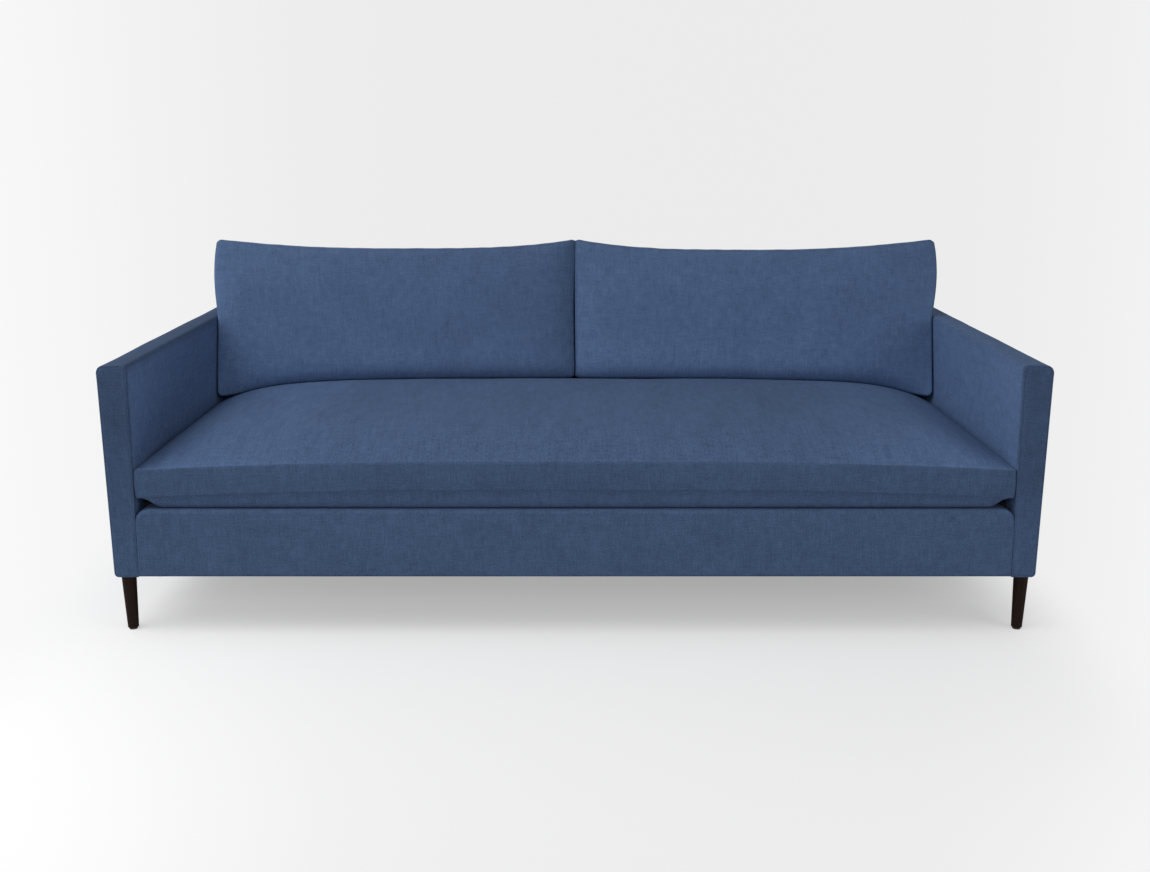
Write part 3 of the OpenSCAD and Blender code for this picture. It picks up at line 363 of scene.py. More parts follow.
def back_cushion(side, name, top_sag, seed):
    """side is -1 for the left and 1 for the right. u is -1 at the middle of the sofa and 1 at the arm."""
    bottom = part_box(f"{name}_zip")[1].z
    half_x, middle_x = (BACK_OUTER_X - BACK_INNER_X) / 2, (BACK_OUTER_X + BACK_INNER_X) / 2
    half_z = BACK_HEIGHT / 2
    u, v = np.meshgrid(2 * spread(2 * half_x, BACK_STEP) - 1, 2 * spread(2 * half_z, BACK_STEP) - 1)
    from_side = (1 - np.abs(u)) * half_x
    edge = np.minimum(from_side, (1 - np.abs(v)) * half_z)
    x, z = rounded_corners(u * half_x, v * half_z, half_x, half_z, BACK_CORNER)
    u, v = x / half_x, z / half_z
    ear = np.abs(u) ** np.where(u < 0, BACK_MIDDLE_EAR_POWER, BACK_EAR_POWER)
    top = bottom + BACK_HEIGHT + BACK_EAR * ear - top_sag * (1 - u ** 2)
    seam_y = inside_back_y(bottom) - BACK_SEAM_INSET + (v + 1) / 2 * (BACK_HEIGHT * BACK_LEAN - BACK_SEAM_SHIFT)
    radius = np.where(u < 0, BACK_MIDDLE_FILLET, BACK_ARM_FILLET)
    fillet = radius - np.sqrt(radius ** 2 - (radius - np.minimum(edge, radius)) ** 2)

    # Half the thickness runs from the top and bottom seams' to the side seams', which is more at the arm in front.
    at_side = np.abs(u) ** 8 * np.where((u > 0) & (v < 0), 1, 1 - np.abs(v) ** 10)
    half = mixed(BACK_BOTTOM, BACK_TOP, (v + 1) / 2) * (1 - at_side)
    side_half = BACK_SIDE * (1 - 0.6 * v)
    arm_half = BACK_ARM_SIDE * (1 - np.where(v < 0, 0.4, 0.62) * v)
    front_half, rear_half = half + np.where(u > 0, arm_half, side_half) * at_side, half + side_half * at_side
    plump = (1 - u ** 8) * (1 - np.where(v < 0, v ** 8, v ** 6)) * (1 - 0.22 * v)

    def heights(sink):
        return top - (top - bottom + sink) * (1 - v) / 2

    def widths(z):
        """The cushion swells out over the arm, a little more on the right, and again at its foot."""
        rise = np.clip((z - ARM_TOP) / BACK_SWELL_RISE, 0, 1)
        near_top = np.clip(1 - (top - z) / 0.075, 0, 1)
        swell = (BACK_SWELL + 0.0015 * (side + 1)) * np.sin(math.pi / 2 * rise) * (1 - 0.25 * near_top ** 2)
        spread_low = BACK_LOW_SPREAD * np.clip((ARM_TOP - 0.02 - z) / 0.12, 0, 1)
        return middle_x + x + (swell + spread_low) * np.where(u > 0, u ** 4, 0)

    # The front's lower edge follows the seat's crown down towards the arm.
    contact_v = 2 * (inside_back_y(bottom) - BACK_SEAM_INSET - BACK_BOTTOM - SEAT_FRONT) / (SEAT_REAR - SEAT_FRONT) - 1
    across = np.minimum((middle_x + x) / SEAT_HALF, 1)
    fall = SEAT_RISE * across ** SEAM_POWER \
        + SEAT_CROWN * (1 - contact_v ** SEAT_DEPTH_POWER) * across ** SEAT_END_POWER
    front_z, rear_z = heights(fall * (1 - 0.45 * across ** 24)), heights(0)
    rolled = BACK_SIDE_ROLL * np.exp(-from_side / BACK_ROLL_WIDTH)
    front = together(widths(front_z), seam_y - front_half - BACK_FRONT_BULGE * plump + fillet + rolled, front_z)
    front[..., 1] += lumpy(front, (0.0032, 0.26, seed), (0.0014, 0.10, seed + 5)) * np.minimum(1, edge / 0.05)
    rear_y = np.minimum(seam_y + rear_half + BACK_REAR_BULGE * plump - fillet, inside_back_y(rear_z) - 2 * SKIN)
    rear, seam = (together(widths(rear_z), y, rear_z) for y in (rear_y, seam_y))

    # Painted light and shade: the front is painted paler low down and darker near the top. On the left cushion it is
    # painted darker towards the middle seam, and on the right one darker at the arm.
    cushion_painted_light = BACK_PAINTED_LIGHT * (1 - 0.13 * eased((v - 0.5) / 0.5) + 0.22 * eased((-v - 0.1) / 0.9))
    if side < 0:
        cushion_painted_light = cushion_painted_light * (0.92 + 0.08 * u - 0.16 * np.exp(-from_side / 0.030) * (u < 0))
    else:
        cushion_painted_light = cushion_painted_light * (1 - 0.07 * eased((u - 0.4) / 0.6))
    grain = front[..., [0, 2]] + (seed, 1.0)
    shell = Shell()
    # A painted highlight runs along the front's rolled edge, just inside its rim.
    shell.panel(front, grain, 0, 0.5 * hump(edge, 0.008, 0.006), painted_light=cushion_painted_light)
    shell.panel(rear, grain + (3.0, 0), flip=True, painted_light=BACK_PAINTED_LIGHT)
    sewn = rim(seam)
    around = way_along(sewn)[None]
    for panel, behind in ((rim(front), False), (rim(rear), True)):
        width = np.linalg.norm(panel - sewn, axis=1)
        t = spread(width.mean(), 0.010)[:, None]
        from_seam = (1 - t) * width[None]
        creases = pleats(around, from_seam, 0.0012, 0.03, 0.012, 0.014, seed, layer=seed)
        shell.panel(mixed(panel[None], sewn[None], t[..., None]), together(around, from_seam) + (seed + 6, 2.0),
                    seam_lift(from_seam, 0.0014) + creases, painted_seam_light(from_seam), flip=not behind, painted_light=BACK_PAINTED_LIGHT)

    def limit(points):
        x, y, z = points.T
        past_arm = np.clip((z - ARM_TOP) / 0.02, 0, 1)
        # Where the two cushions press together the line between them wanders, so it can't be seen through. In front
        # it opens by a little, which shows as a dark line.
        in_front = np.clip((inside_back_y(np.minimum(z, ARM_TOP)) - BACK_SEAM_INSET - 0.010 - y) / 0.025, 0, 1)
        meeting = side * MEETING_WANDER * np.sin((y - seam_y.mean()) * MEETING_PACE) + SKIN + MEETING_OPENING * in_front
        near_middle = np.exp(-np.maximum(x, 0) / 0.03)
        x = np.where(x < 0.004, np.minimum(x, BACK_INNER_X), x) + near_middle * (meeting - BACK_INNER_X)
        x = np.clip(x, meeting, np.minimum(inner_x(ARM_TOP) + 4 * SKIN, inner_x(z) - 2 * SKIN) + 0.02 * past_arm)
        y = np.minimum(y, inside_back_y(np.minimum(z, ARM_TOP)) - 0.0004)
        return together(x, y, np.maximum(z, seat_surface(side * x, y) + 0.0008))

    return dress(shell.build(f"{name}_upholstery", limit=limit, mirrored=side < 0), name,
                 (f"{name}_cover", f"{name}_fill"))


# Frame upholstery

def drawn_in(corners, inset):
    """A four-sided outline with every side moved inwards."""
    corners = np.array(corners, float)
    along = np.roll(corners, -1, 0) - corners
    inward = unit(together(-along[:, 1], along[:, 0]))
    reach = (inward * corners).sum(1) + inset
    return np.array([np.linalg.solve(inward[[k - 1, k]], reach[[k - 1, k]]) for k in range(4)])


# Steps round an outline's corner and round a cover's edge, and the radius of a corner that looks sharp.
ARC_STEPS, EDGE_STEPS, SHARP = 4, 5, 0.002


def outline_side(corners, radii, k, j, count):
    """Points from the middle of one rounded corner to the middle of the next."""
    lines = []
    for here, onward in ((k, j), (j, k)):
        corner, radius = corners[here], radii[here]
        other = corners[(here - 1) % 4 if onward == (here + 1) % 4 else (here + 1) % 4]
        to_next, to_other = unit(corners[onward] - corner), unit(other - corner)
        half_turn = math.acos(np.clip(to_next @ to_other, -1, 1)) / 2
        middle = unit(to_next + to_other)
        centre = corner + middle * radius / math.sin(half_turn)
        tangent = corner + to_next * radius / math.tan(half_turn)
        ways = mixed(-middle, (tangent - centre) / radius, np.linspace(0, 1, ARC_STEPS + 1)[:, None])
        lines.append(centre + radius * unit(ways))
    first, last = lines[0], lines[1][::-1]
    straight = np.linspace(first[-1], last[0], count - 2 * ARC_STEPS)
    return np.concatenate([first, straight[1:-1], last])


def panel_outline(corners, radii, rows, cols, inset):
    """A grid over a four-sided panel with rounded corners, given from the low left one around."""
    corners = drawn_in(corners, inset)
    radii = [max(r - inset, 0.001) for r in radii]
    low, high = outline_side(corners, radii, 0, 1, cols), outline_side(corners, radii, 3, 2, cols)
    left, right = outline_side(corners, radii, 0, 3, rows), outline_side(corners, radii, 1, 2, rows)
    a, b = (sum(way_along(side) / way_along(side)[-1] for side in pair) / 2 for pair in ((low, high), (left, right)))
    a, b = a[None, :, None], b[:, None, None]
    edges = mixed(low[None], high[None], b) + mixed(left[:, None], right[:, None], a)
    return edges - mixed(mixed(low[0], low[-1], a), mixed(high[0], high[-1], a), b)


def upright(grid, place):
    """Stands a grid across the sofa at a place along Y."""
    return together(grid[..., 0], place, grid[..., 1])


def level(grid, place):
    """Lays a grid flat at a height."""
    return together(grid[..., 0], grid[..., 1], place)


def tight_seam(distance):
    """How far a seam in a tight cover lifts the cloth, and how much painted highlight and shade it gets."""
    return seam_lift(distance, 0.0003, 0.0010), 0.7 * painted_seam_light(distance)


def even_painted_light(value):
    """Painted light and shade that is the same everywhere on a panel; 1 paints none."""
    return lambda points: np.full(points.shape[:-1], value)


def upholstered(name, outline, along, ends, edge_r, puff, seed, sewn=(False, False), seams=(), waves=0.0011,
                shape=None, limit=None, mirrored=False, step=0.014, painted_light=even_painted_light(1.0), end_painted_light=None):
    """A padded form between two end panels.

    outline is what panel_outline needs for the ends' grid of points in two axes, along(grid, place) puts it at a
    place on the third, and ends are the two places. Each of seams gives the points' distances from a seam. The last two
    arguments give the painted light and shade at points, how much paler or darker the cloth is painted for how light
    falls on it, and the same for the end panels, if it differs there.
    """
    end_painted_light = end_painted_light or painted_light
    shell = Shell()
    cap = panel_outline(*outline, edge_r)
    rows, cols = cap.shape[:2]
    border = rim(cap)
    edge = np.full((rows, cols), 1.0)
    for a, b in zip(border[:-1], border[1:]):
        length = max((b - a) @ (b - a), 1e-12)
        share = np.clip(((cap - a) @ (b - a)) / length, 0, 1)
        edge = np.minimum(edge, np.linalg.norm(cap - a - share[..., None] * (b - a), axis=-1))
    near_edge = np.exp(-edge / 0.03)
    swell = puff * (1 - near_edge) - puff * 0.3 * near_edge * (edge > 0.0005)
    for place, sign, stitched in zip(ends, (-1, 1), sewn):
        grid = along(cap, place + sign * swell)
        uneven = waves * 0.6 * wander(grid, 0.20, seed + 9) * np.minimum(1, edge / 0.04)
        grid = along(cap, place + sign * (swell + uneven))
        lift, rub = tight_seam(edge) if stitched else (0, 0)
        shell.panel(grid, cap + (seed, 0.3 * seed), lift, rub, flip=sign > 0, painted_light=end_painted_light(grid))

    # Each step of the profile is a place, how far the outline is drawn in there, and its ways from the two ends.
    turns = np.linspace(0, math.pi / 2, EDGE_STEPS + 1)
    count = max(2, round((ends[1] - ends[0] - 2 * edge_r) / step))
    profile = [(ends[0] + edge_r * (1 - math.cos(t)), edge_r * (1 - math.sin(t)), edge_r * t, 1.0) for t in turns]
    profile += [(p, 0.0, p - ends[0], ends[1] - p)
                for p in np.linspace(ends[0] + edge_r, ends[1] - edge_r, count + 1)[1:-1]]
    profile += [(ends[1] - edge_r * (1 - math.cos(t)), edge_r * (1 - math.sin(t)), 1.0, edge_r * t)
                for t in turns[::-1]]
    loops = np.stack([rim(along(panel_outline(*outline, inset), place)) for place, inset, _, _ in profile])
    around = way_along(loops[len(loops) // 2])[None]
    run, _, from_first, from_last = (np.array(column)[:, None] for column in zip(*profile))
    fade = np.clip(np.minimum(run - ends[0], ends[1] - run) / 0.03, 0, 1)
    lift = lumpy(loops, (waves, 0.22, seed), (0.35 * waves, 0.07, seed + 3)) * fade
    rub = 0 * lift
    near = [from_first + 0 * around] * sewn[0] + [from_last + 0 * around] * sewn[1]
    for distance in near + [seam(loops) for seam in seams]:
        lift, rub = np.add((lift, rub), tight_seam(distance))
    painted_lights = mixed(painted_light(loops), end_painted_light(loops), eased((0.012 - from_first) / 0.008))
    shell.panel(loops, together(0.55 * run, around) + (seed + 3, 1), lift, rub, flip=True, painted_light=painted_lights)
    return shell.build(name, shape, limit, mirrored)


def arm(side, name):
    """Drawn on the right and mirrored for the left."""
    corners = ((inner_x(UNDERSIDE), UNDERSIDE), (HALF_WIDTH, UNDERSIDE), (HALF_WIDTH, ARM_TOP),
               (inner_x(ARM_TOP), ARM_TOP))

    def turned_corner(points):
        """The outside wraps round the rear corner."""
        x, y, z = points.T
        turned_x, turned_y = rounded_corners(x, y, HALF_WIDTH, REAR_Y, ARM_REAR_CORNER)
        return together(np.where(y > 0, turned_x, x), np.where(y > 0, turned_y, y), z)

    def top_seam(points):
        """Joins the outside panel to the one that runs over the top."""
        return np.where(points[..., 0] > HALF_WIDTH - 0.004, np.abs(points[..., 2] - ARM_TOP + ARM_TOP_SEAM), 1)

    def painted_light(points):
        """Painted light and shade: the inside is painted paler than the outside, and the top darker than the inside."""
        inwards = (HALF_WIDTH - points[..., 0]) / ARM_TOP_WIDTH
        top = mixed(*ARM_TOP_PAINTED_LIGHT[side], eased(inwards / 0.9))
        sides = mixed(1, ARM_INSIDE_PAINTED_LIGHT[side], eased((inwards - 0.15) / 0.45))
        return mixed(sides, top, eased((points[..., 2] - ARM_TOP + 0.014) / 0.012))

    def front_painted_light(points):
        """Painted light: the front is painted paler towards the floor, where light comes up from it, and a little
        darker near its top.
        """
        z = points[..., 2]
        return ARM_FRONT_PAINTED_LIGHT * (1 + 0.24 * eased((0.40 - z) / 0.22) - 0.05 * eased((z - 0.42) / 0.15))

    def limit(points):
        x, y, z = points.T
        return together(np.clip(x, inner_x(z), HALF_WIDTH + PROUD_BEHIND),
                        np.clip(y, FRONT_Y - PROUD, REAR_Y + PROUD_BEHIND), np.maximum(z, UNDERSIDE))

    piece = upholstered(f"{name}_upholstery", (corners, (SHARP, 0.010, 0.017, 0.010), 46, 16), upright,
                        (FRONT_Y, REAR_Y), ARM_EDGE, 0.0010, 2.3 if side < 0 else 5.9, sewn=(True, False),
                        seams=(top_seam,), shape=turned_corner, limit=limit, mirrored=side < 0, painted_light=painted_light,
                        end_painted_light=front_painted_light)
    return dress(piece, "sofa_frame", (f"{name}_cover", f"{name}_pad"))


def front_rail():
    low_x, high_x = inner_x(UNDERSIDE) + RAIL_PAST_ARM, inner_x(DECK_TOP) + RAIL_PAST_ARM
    corners = ((-low_x, UNDERSIDE), (low_x, UNDERSIDE), (high_x, DECK_TOP), (-high_x, DECK_TOP))
    piece = upholstered("front_rail_upholstery", (corners, (SHARP, SHARP, RAIL_CORNER, RAIL_CORNER), 22, 150), upright,
                        (FRONT_Y, FRONT_Y + RAIL_LIP), RAIL_ROUND, 0.0012, 8.1, painted_light=even_painted_light(RAIL_PAINTED_LIGHT),
                        limit=lambda points: between_arms(
                            points, FRONT_Y - PROUD, FRONT_Y + RAIL_LIP, UNDERSIDE, DECK_TOP))
    return dress(piece, "sofa_frame", ("front_rail_cover", "front_rail_pad"))


def inside_back():
    rear = REAR_Y - 0.001
    corners = ((inside_back_y(DECK_LOW), DECK_LOW), (rear, DECK_LOW), (rear, ARM_TOP),
               (inside_back_y(ARM_TOP), ARM_TOP))

    def across(grid, place):
        """Stands a grid along the sofa, place being a share of the way to an arm."""
        z = grid[..., 1]
        return together(place * (inner_x(z) - SKIN), grid[..., 0], z)

    piece = upholstered("inside_back_upholstery", (corners, (SHARP, SHARP, 0.017, 0.010), 36, 18), across, (-1, 1),
                        0.004, 0, 12.7, limit=lambda points: between_arms(
                            points, inside_back_y(points[:, 2]), REAR_Y, DECK_LOW))
    return dress(piece, "sofa_frame", ("inside_back_cover", "back_pad"))


def outside_back():
    low_x, high_x = inner_x(UNDERSIDE) - SKIN, inner_x(OUTSIDE_BACK_TOP) - SKIN
    corners = ((-low_x, UNDERSIDE), (low_x, UNDERSIDE), (high_x, OUTSIDE_BACK_TOP), (-high_x, OUTSIDE_BACK_TOP))
    piece = upholstered("outside_back_upholstery", (corners, (SHARP, SHARP, 0.003, 0.003), 44, 150), upright,
                        (REAR_Y - 0.012, REAR_Y), 0.0025, 0.0008, 15.2, sewn=(False, True),
                        limit=lambda points: between_arms(points, -np.inf, REAR_Y + PROUD_BEHIND, UNDERSIDE))
    return dress(piece, "sofa_frame", ("outside_back_cover",))


def deck():
    half = inner_x(DECK_TOP) - 2 * SKIN
    front, rear = FRONT_Y + RAIL_LIP + SKIN, inside_back_y(DECK_TOP) - 2 * SKIN
    corners = ((-half, front), (half, front), (half, rear), (-half, rear))

    def limit(points):
        x, y, z = points.T
        return together(x, np.clip(y, front, rear), np.clip(z, DECK_LOW, DECK_TOP))

    piece = upholstered("deck_upholstery", (corners, (SHARP,) * 4, 60, 130), level, (DECK_LOW, DECK_TOP), 0.002,
                        -0.0008, 18.4, limit=limit)
    return dress(piece, "sofa_frame", ("deck_cover", "deck_pad", "deck_insulator"))


def dust_cover():
    low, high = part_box("dust_cover")
    corners = ((low.x, low.y), (high.x, low.y), (high.x, high.y), (low.x, high.y))
    piece = upholstered("dust_cover_cloth", (corners, (SHARP,) * 4, 48, 100), level, (low.z, high.z), 0.0002, 0, 21.6,
                        waves=0.0001, step=0.01)
    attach(piece, "sofa_frame")
    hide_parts("dust_cover")
    return piece


velvet_pieces = [seat_cushion(), back_cushion(-1, "left_back_cushion", 0.0, 31.0),
                 back_cushion(1, "right_back_cushion", 0.004, 47.0), arm(-1, "left_arm"), arm(1, "right_arm"),
                 front_rail(), inside_back(), outside_back()]
black_pieces = [deck(), dust_cover()]


# Materials

class Nodes:
    """Builds a node tree: each call adds a node, sets its inputs and gives it back."""

    def __init__(self, tree):
        self.tree = tree

    def add(self, kind, inputs=None, **settings):
        node = self.tree.nodes.new(kind)
        for name, value in settings.items():
            setattr(node, name, value)
        for key, value in (inputs or {}).items():
            socket = node.inputs[key]
            if isinstance(value, bpy.types.NodeSocket):
                self.tree.links.new(value, socket)
            elif isinstance(value, (tuple, list)) and socket.type == "RGBA" and len(value) == 3:
                socket.default_value = (*value, 1)
            else:
                socket.default_value = value
        return node

    def math(self, operation, a, b=0.0, c=0.0):
        return self.add("ShaderNodeMath", {0: a, 1: b, 2: c}, operation=operation).outputs[0]

    def times(self, a, b, plus=0.0):
        return self.math("MULTIPLY_ADD", a, b, plus)

    def moved(self, base, pattern, weight, middle=0.5):
        """A value that a pattern moves up and down by how far it is from its middle."""
        return self.times(self.math("SUBTRACT", pattern, middle), weight, base)

    def smooth(self, value, start, stop, low=0.0, high=1.0):
        """Runs smoothly from low to high while a value runs from start to stop."""
        return self.add("ShaderNodeMapRange", {"Value": value, "From Min": start, "From Max": stop, "To Min": low,
                                               "To Max": high}, interpolation_type="SMOOTHSTEP").outputs[0]

    def send(self, out, **values):
        """Gives a group's outputs their values by name."""
        for name, value in values.items():
            self.tree.links.new(value, out[name])

    def noise(self, vector, scale, detail, roughness):
        return self.add("ShaderNodeTexNoise", {"Vector": vector, "Scale": scale, "Detail": detail,
                                               "Roughness": roughness}).outputs["Fac"]

    def stretched(self, vector, scale):
        return self.add("ShaderNodeMapping", {"Vector": vector, "Scale": scale}).outputs[0]

    def tinted(self, colour, shade):
        """A colour made paler or darker by a value."""
        grey = self.add("ShaderNodeCombineColor", {0: shade, 1: shade, 2: shade}).outputs[0]
        return self.blend(1.0, colour, grey, "MULTIPLY")

    def blend(self, factor, a, b, mode="MIX"):
        return self.add("ShaderNodeMix", {0: factor, 6: a, 7: b}, data_type="RGBA", blend_type=mode).outputs[2]


GREY = (0.5, 0.5, 0.5, 1)


def node_group(name, inputs, outputs):
    """inputs has none for a vector, and what a value or a colour starts as. The output Colour is the one colour."""
    tree = bpy.data.node_groups.new(name, "ShaderNodeTree")
    kinds = {type(None): "NodeSocketVector", float: "NodeSocketFloat", tuple: "NodeSocketColor"}
    for label, start in inputs.items():
        socket = tree.interface.new_socket(label, in_out="INPUT", socket_type=kinds[type(start)])
        if start is not None:
            socket.default_value = start
    for label in outputs:
        kind = kinds[tuple if label == "Colour" else float]
        tree.interface.new_socket(label, in_out="OUTPUT", socket_type=kind)
    nodes = Nodes(tree)
    return tree, nodes, nodes.add("NodeGroupInput").outputs, nodes.add("NodeGroupOutput").inputs


def woven_pile():
    """Short pile on a woven ground, laid one way by brushing: streaks along both threads and soft mottling, with
    painted highlight and shade beside seams and each panel's painted light and shade.
    """
    tree, n, given, out = node_group(
        "woven_pile", {"Grain": None, "Rub": 0.0, "Colour": GREY, "Streaks": 0.1, "Mottle": 0.1, "Seam shade": 0.1},
        ("Colour", "Height", "Roughness"))
    grain = given["Grain"]
    # Each layer of streaks: how it is stretched, its detail and its weight.
    layers = (((300, 36, 0), 2, 1.0), ((38, 290, 0), 2, 0.8), ((120, 12, 0), 1, 0.4), ((13, 110, 0), 1, 0.3),
              ((310, 280, 0), 2, 1.7), ((1300, 1100, 0), 1, 0.5))
    threads = 0.0
    for scale, detail, weight in layers:
        threads = n.moved(threads, n.noise(n.stretched(grain, scale), 1, detail, 0.6), weight)
    patches, clouds = (n.noise(n.stretched(grain, scale), 1, 2, 0.5) for scale in ((10, 8, 0), (52, 40, 0)))
    patches = n.moved(n.math("SUBTRACT", patches, 0.5), clouds, 1.1)
    shade = n.times(threads, given["Streaks"], 1.0)
    shade = n.times(patches, given["Mottle"], shade)
    # Painted highlight and shade beside seams.
    shade = n.times(given["Rub"], given["Seam shade"], shade)
    # The grain's third value is the panel's painted light and shade.
    painted_light = n.add("ShaderNodeSeparateXYZ", {0: grain}).outputs["Z"]
    n.send(out, Colour=n.tinted(given["Colour"], n.times(shade, painted_light)), Height=threads,
           Roughness=n.times(threads, 0.2, 0.86))
    return tree


def coarse_weave():
    """Plain over-and-under weave with uneven threads."""
    tree, n, given, out = node_group("coarse_weave", {"Grain": None, "Thread": 0.0015, "Colour": GREY, "Contrast": 0.5},
                                     ("Colour", "Height"))
    place = n.add("ShaderNodeSeparateXYZ", {0: given["Grain"]})
    across, along = (n.math("DIVIDE", place.outputs[k], given["Thread"]) for k in (0, 1))
    ridges = [n.times(n.math("PINGPONG", value, 0.5), 2.0) for value in (across, along)]
    turn = n.math("ADD", n.math("FLOOR", across), n.math("FLOOR", along))
    pairs = n.times(n.math("FLOOR", n.times(turn, 0.5)), 2.0)
    over = n.math("ABSOLUTE", n.math("SUBTRACT", turn, pairs))
    height = n.add("ShaderNodeMix", {0: over, 2: ridges[0], 3: ridges[1]}, data_type="FLOAT").outputs[0]
    uneven = n.noise(n.stretched(given["Grain"], (90, 70, 90)), 1, 3, 0.6)
    shade = n.moved(n.moved(1.0, height, given["Contrast"], middle=0.6), uneven, 0.7)
    n.send(out, Colour=n.tinted(given["Colour"], shade), Height=height)
    return tree


def wood_grain():
    """Grain that runs along the piece: wavering rings, fine dark pores and a few paler bands."""
    tree, n, given, out = node_group("wood_grain", {"Grain": None, "Pale": GREY, "Dark": GREY, "Pores": 0.4},
                                     ("Colour", "Height", "Roughness"))
    grain = given["Grain"]
    drift = n.noise(n.stretched(grain, (2.5, 14, 14)), 1, 2, 0.5)
    rings = n.noise(n.stretched(grain, (5, 150, 150)), 1, 4, 0.65)
    bands = n.moved(n.times(drift, 1.2, -0.1), rings, 2.2)
    pores = n.noise(n.stretched(grain, (38, 1400, 1400)), 1, 2, 0.6)
    pits = n.add("ShaderNodeMapRange", {"Value": pores, "From Min": 0.52, "From Max": 0.68}).outputs[0]
    colour = n.blend(n.add("ShaderNodeClamp", {0: bands}).outputs[0], given["Dark"], given["Pale"])
    n.send(out, Colour=n.tinted(colour, n.math("SUBTRACT", 1.0, n.times(pits, given["Pores"]))),
           Height=n.math("SUBTRACT", n.times(rings, 0.4), pits),
           Roughness=n.times(rings, 0.3, n.times(pits, 0.15)))
    return tree


def grainy_surface():
    """Fine spots and broad stains, for boards, fillings, moulded and metal pieces."""
    tree, n, given, out = node_group(
        "grainy_surface", {"Place": None, "Size": 0.002, "Colour": GREY, "Spots": 0.3, "Stains": 0.2},
        ("Colour", "Height", "Roughness"))
    scale = n.math("DIVIDE", 1.0, given["Size"])
    fine = n.noise(given["Place"], scale, 4, 0.65)
    broad = n.noise(given["Place"], n.times(scale, 0.05), 3, 0.55)
    shade = n.moved(n.moved(1.0, fine, given["Spots"]), broad, given["Stains"])
    n.send(out, Colour=n.tinted(given["Colour"], shade), Height=fine,
           Roughness=n.math("ADD", n.times(fine, 0.6), n.times(broad, 0.4)))
    return tree


def finish(n, colour, roughness, height, strength, distance, more=None):
    """The surface itself, with the bumps that its height makes."""
    normal = n.add("ShaderNodeBump", {"Height": height, "Strength": strength, "Distance": distance}).outputs[0]
    surface = n.add("ShaderNodeBsdfPrincipled", {"Base Color": colour, "Roughness": roughness, "Normal": normal,
                                                 **(more or {})})
    n.add("ShaderNodeOutputMaterial", {0: surface.outputs[0]})


def emptied(owner):
    """The nodes of a material or world, cleared and ready to build."""
    owner.use_nodes = True
    owner.node_tree.nodes.clear()
    return Nodes(owner.node_tree)


def grouped(n, tree, inputs):
    """One of the shared groups in a material, given values by the names of its inputs."""
    return n.add("ShaderNodeGroup", inputs, node_tree=tree).outputs


PILE, WEAVE, WOOD, GRAINY = woven_pile(), coarse_weave(), wood_grain(), grainy_surface()


def along_piece(n):
    """Where a point is along its piece, across it and through it, in metres. On cloth the third value is its painted
    light and shade instead.
    """
    return n.add("ShaderNodeAttribute", attribute_name="grain").outputs["Vector"]


def pile_cloth(n):
    # The painted highlight and shade beside seams, kept on each piece.
    rub = n.add("ShaderNodeAttribute", attribute_name="rub").outputs["Fac"]
    pile = grouped(n, PILE, {"Grain": along_piece(n), "Rub": rub, "Colour": (0.0600, 0.0983, 0.1850),
                             "Streaks": 0.49, "Mottle": 0.27, "Seam shade": 0.12})
    finish(n, pile["Colour"], pile["Roughness"], pile["Height"], 0.35, 0.0006,
           {"Specular IOR Level": 0.06, "Sheen Weight": 0.02, "Sheen Roughness": 0.5, "Sheen Tint": (0.8, 0.88, 1.0)})


def woven_cloth(n, colour, thread, contrast):
    weave = grouped(n, WEAVE, {"Grain": along_piece(n), "Thread": thread, "Colour": colour, "Contrast": contrast})
    finish(n, weave["Colour"], 0.9, weave["Height"], 0.5, thread * 0.4, {"Specular IOR Level": 0.25})


def timber(n, pale, dark, dull, specular):
    wood = grouped(n, WOOD, {"Grain": along_piece(n), "Pale": pale, "Dark": dark, "Pores": 0.35})
    finish(n, wood["Colour"], n.math("ADD", wood["Roughness"], dull), wood["Height"], 0.25, 0.0004,
           {"Specular IOR Level": specular})


def grainy(n, colour, size, spots, stains, dull, bump, metallic=0.0):
    surface = grouped(n, GRAINY, {"Place": n.add("ShaderNodeTexCoord").outputs["Object"], "Size": size,
                                  "Colour": colour, "Spots": spots, "Stains": stains})
    finish(n, surface["Colour"], n.times(surface["Roughness"], 0.3, dull), surface["Height"], bump, size * 0.5,
           {"Metallic": metallic})


ZIP_PITCH, ZIP_CHAIN_WIDTH = 0.0032, 0.006


def zip_material(n):
    """A dark coil between two woven tapes."""
    place = n.add("ShaderNodeSeparateXYZ", {0: along_piece(n)})
    weave = grouped(n, WEAVE, {"Grain": along_piece(n), "Thread": 0.0007, "Colour": (0.022, 0.028, 0.045),
                               "Contrast": 0.5})
    in_chain = n.math("LESS_THAN", n.math("ABSOLUTE", place.outputs["Y"]), ZIP_CHAIN_WIDTH / 2)
    coil = n.times(n.math("PINGPONG", n.math("DIVIDE", place.outputs["X"], ZIP_PITCH), 0.5), 2.0)
    height = n.times(in_chain, n.times(coil, 2.0, 1.0), n.times(weave["Height"], 0.3))
    surface = grouped(n, GRAINY, {"Place": along_piece(n), "Size": 0.002, "Colour": (0.020, 0.024, 0.036),
                                  "Spots": 0.3, "Stains": 0.3})
    colour = n.blend(in_chain, weave["Colour"], n.tinted(surface["Colour"], n.times(coil, 0.8, 0.5)))
    finish(n, colour, n.times(in_chain, -0.45, 0.85), height, 0.6, 0.0006)


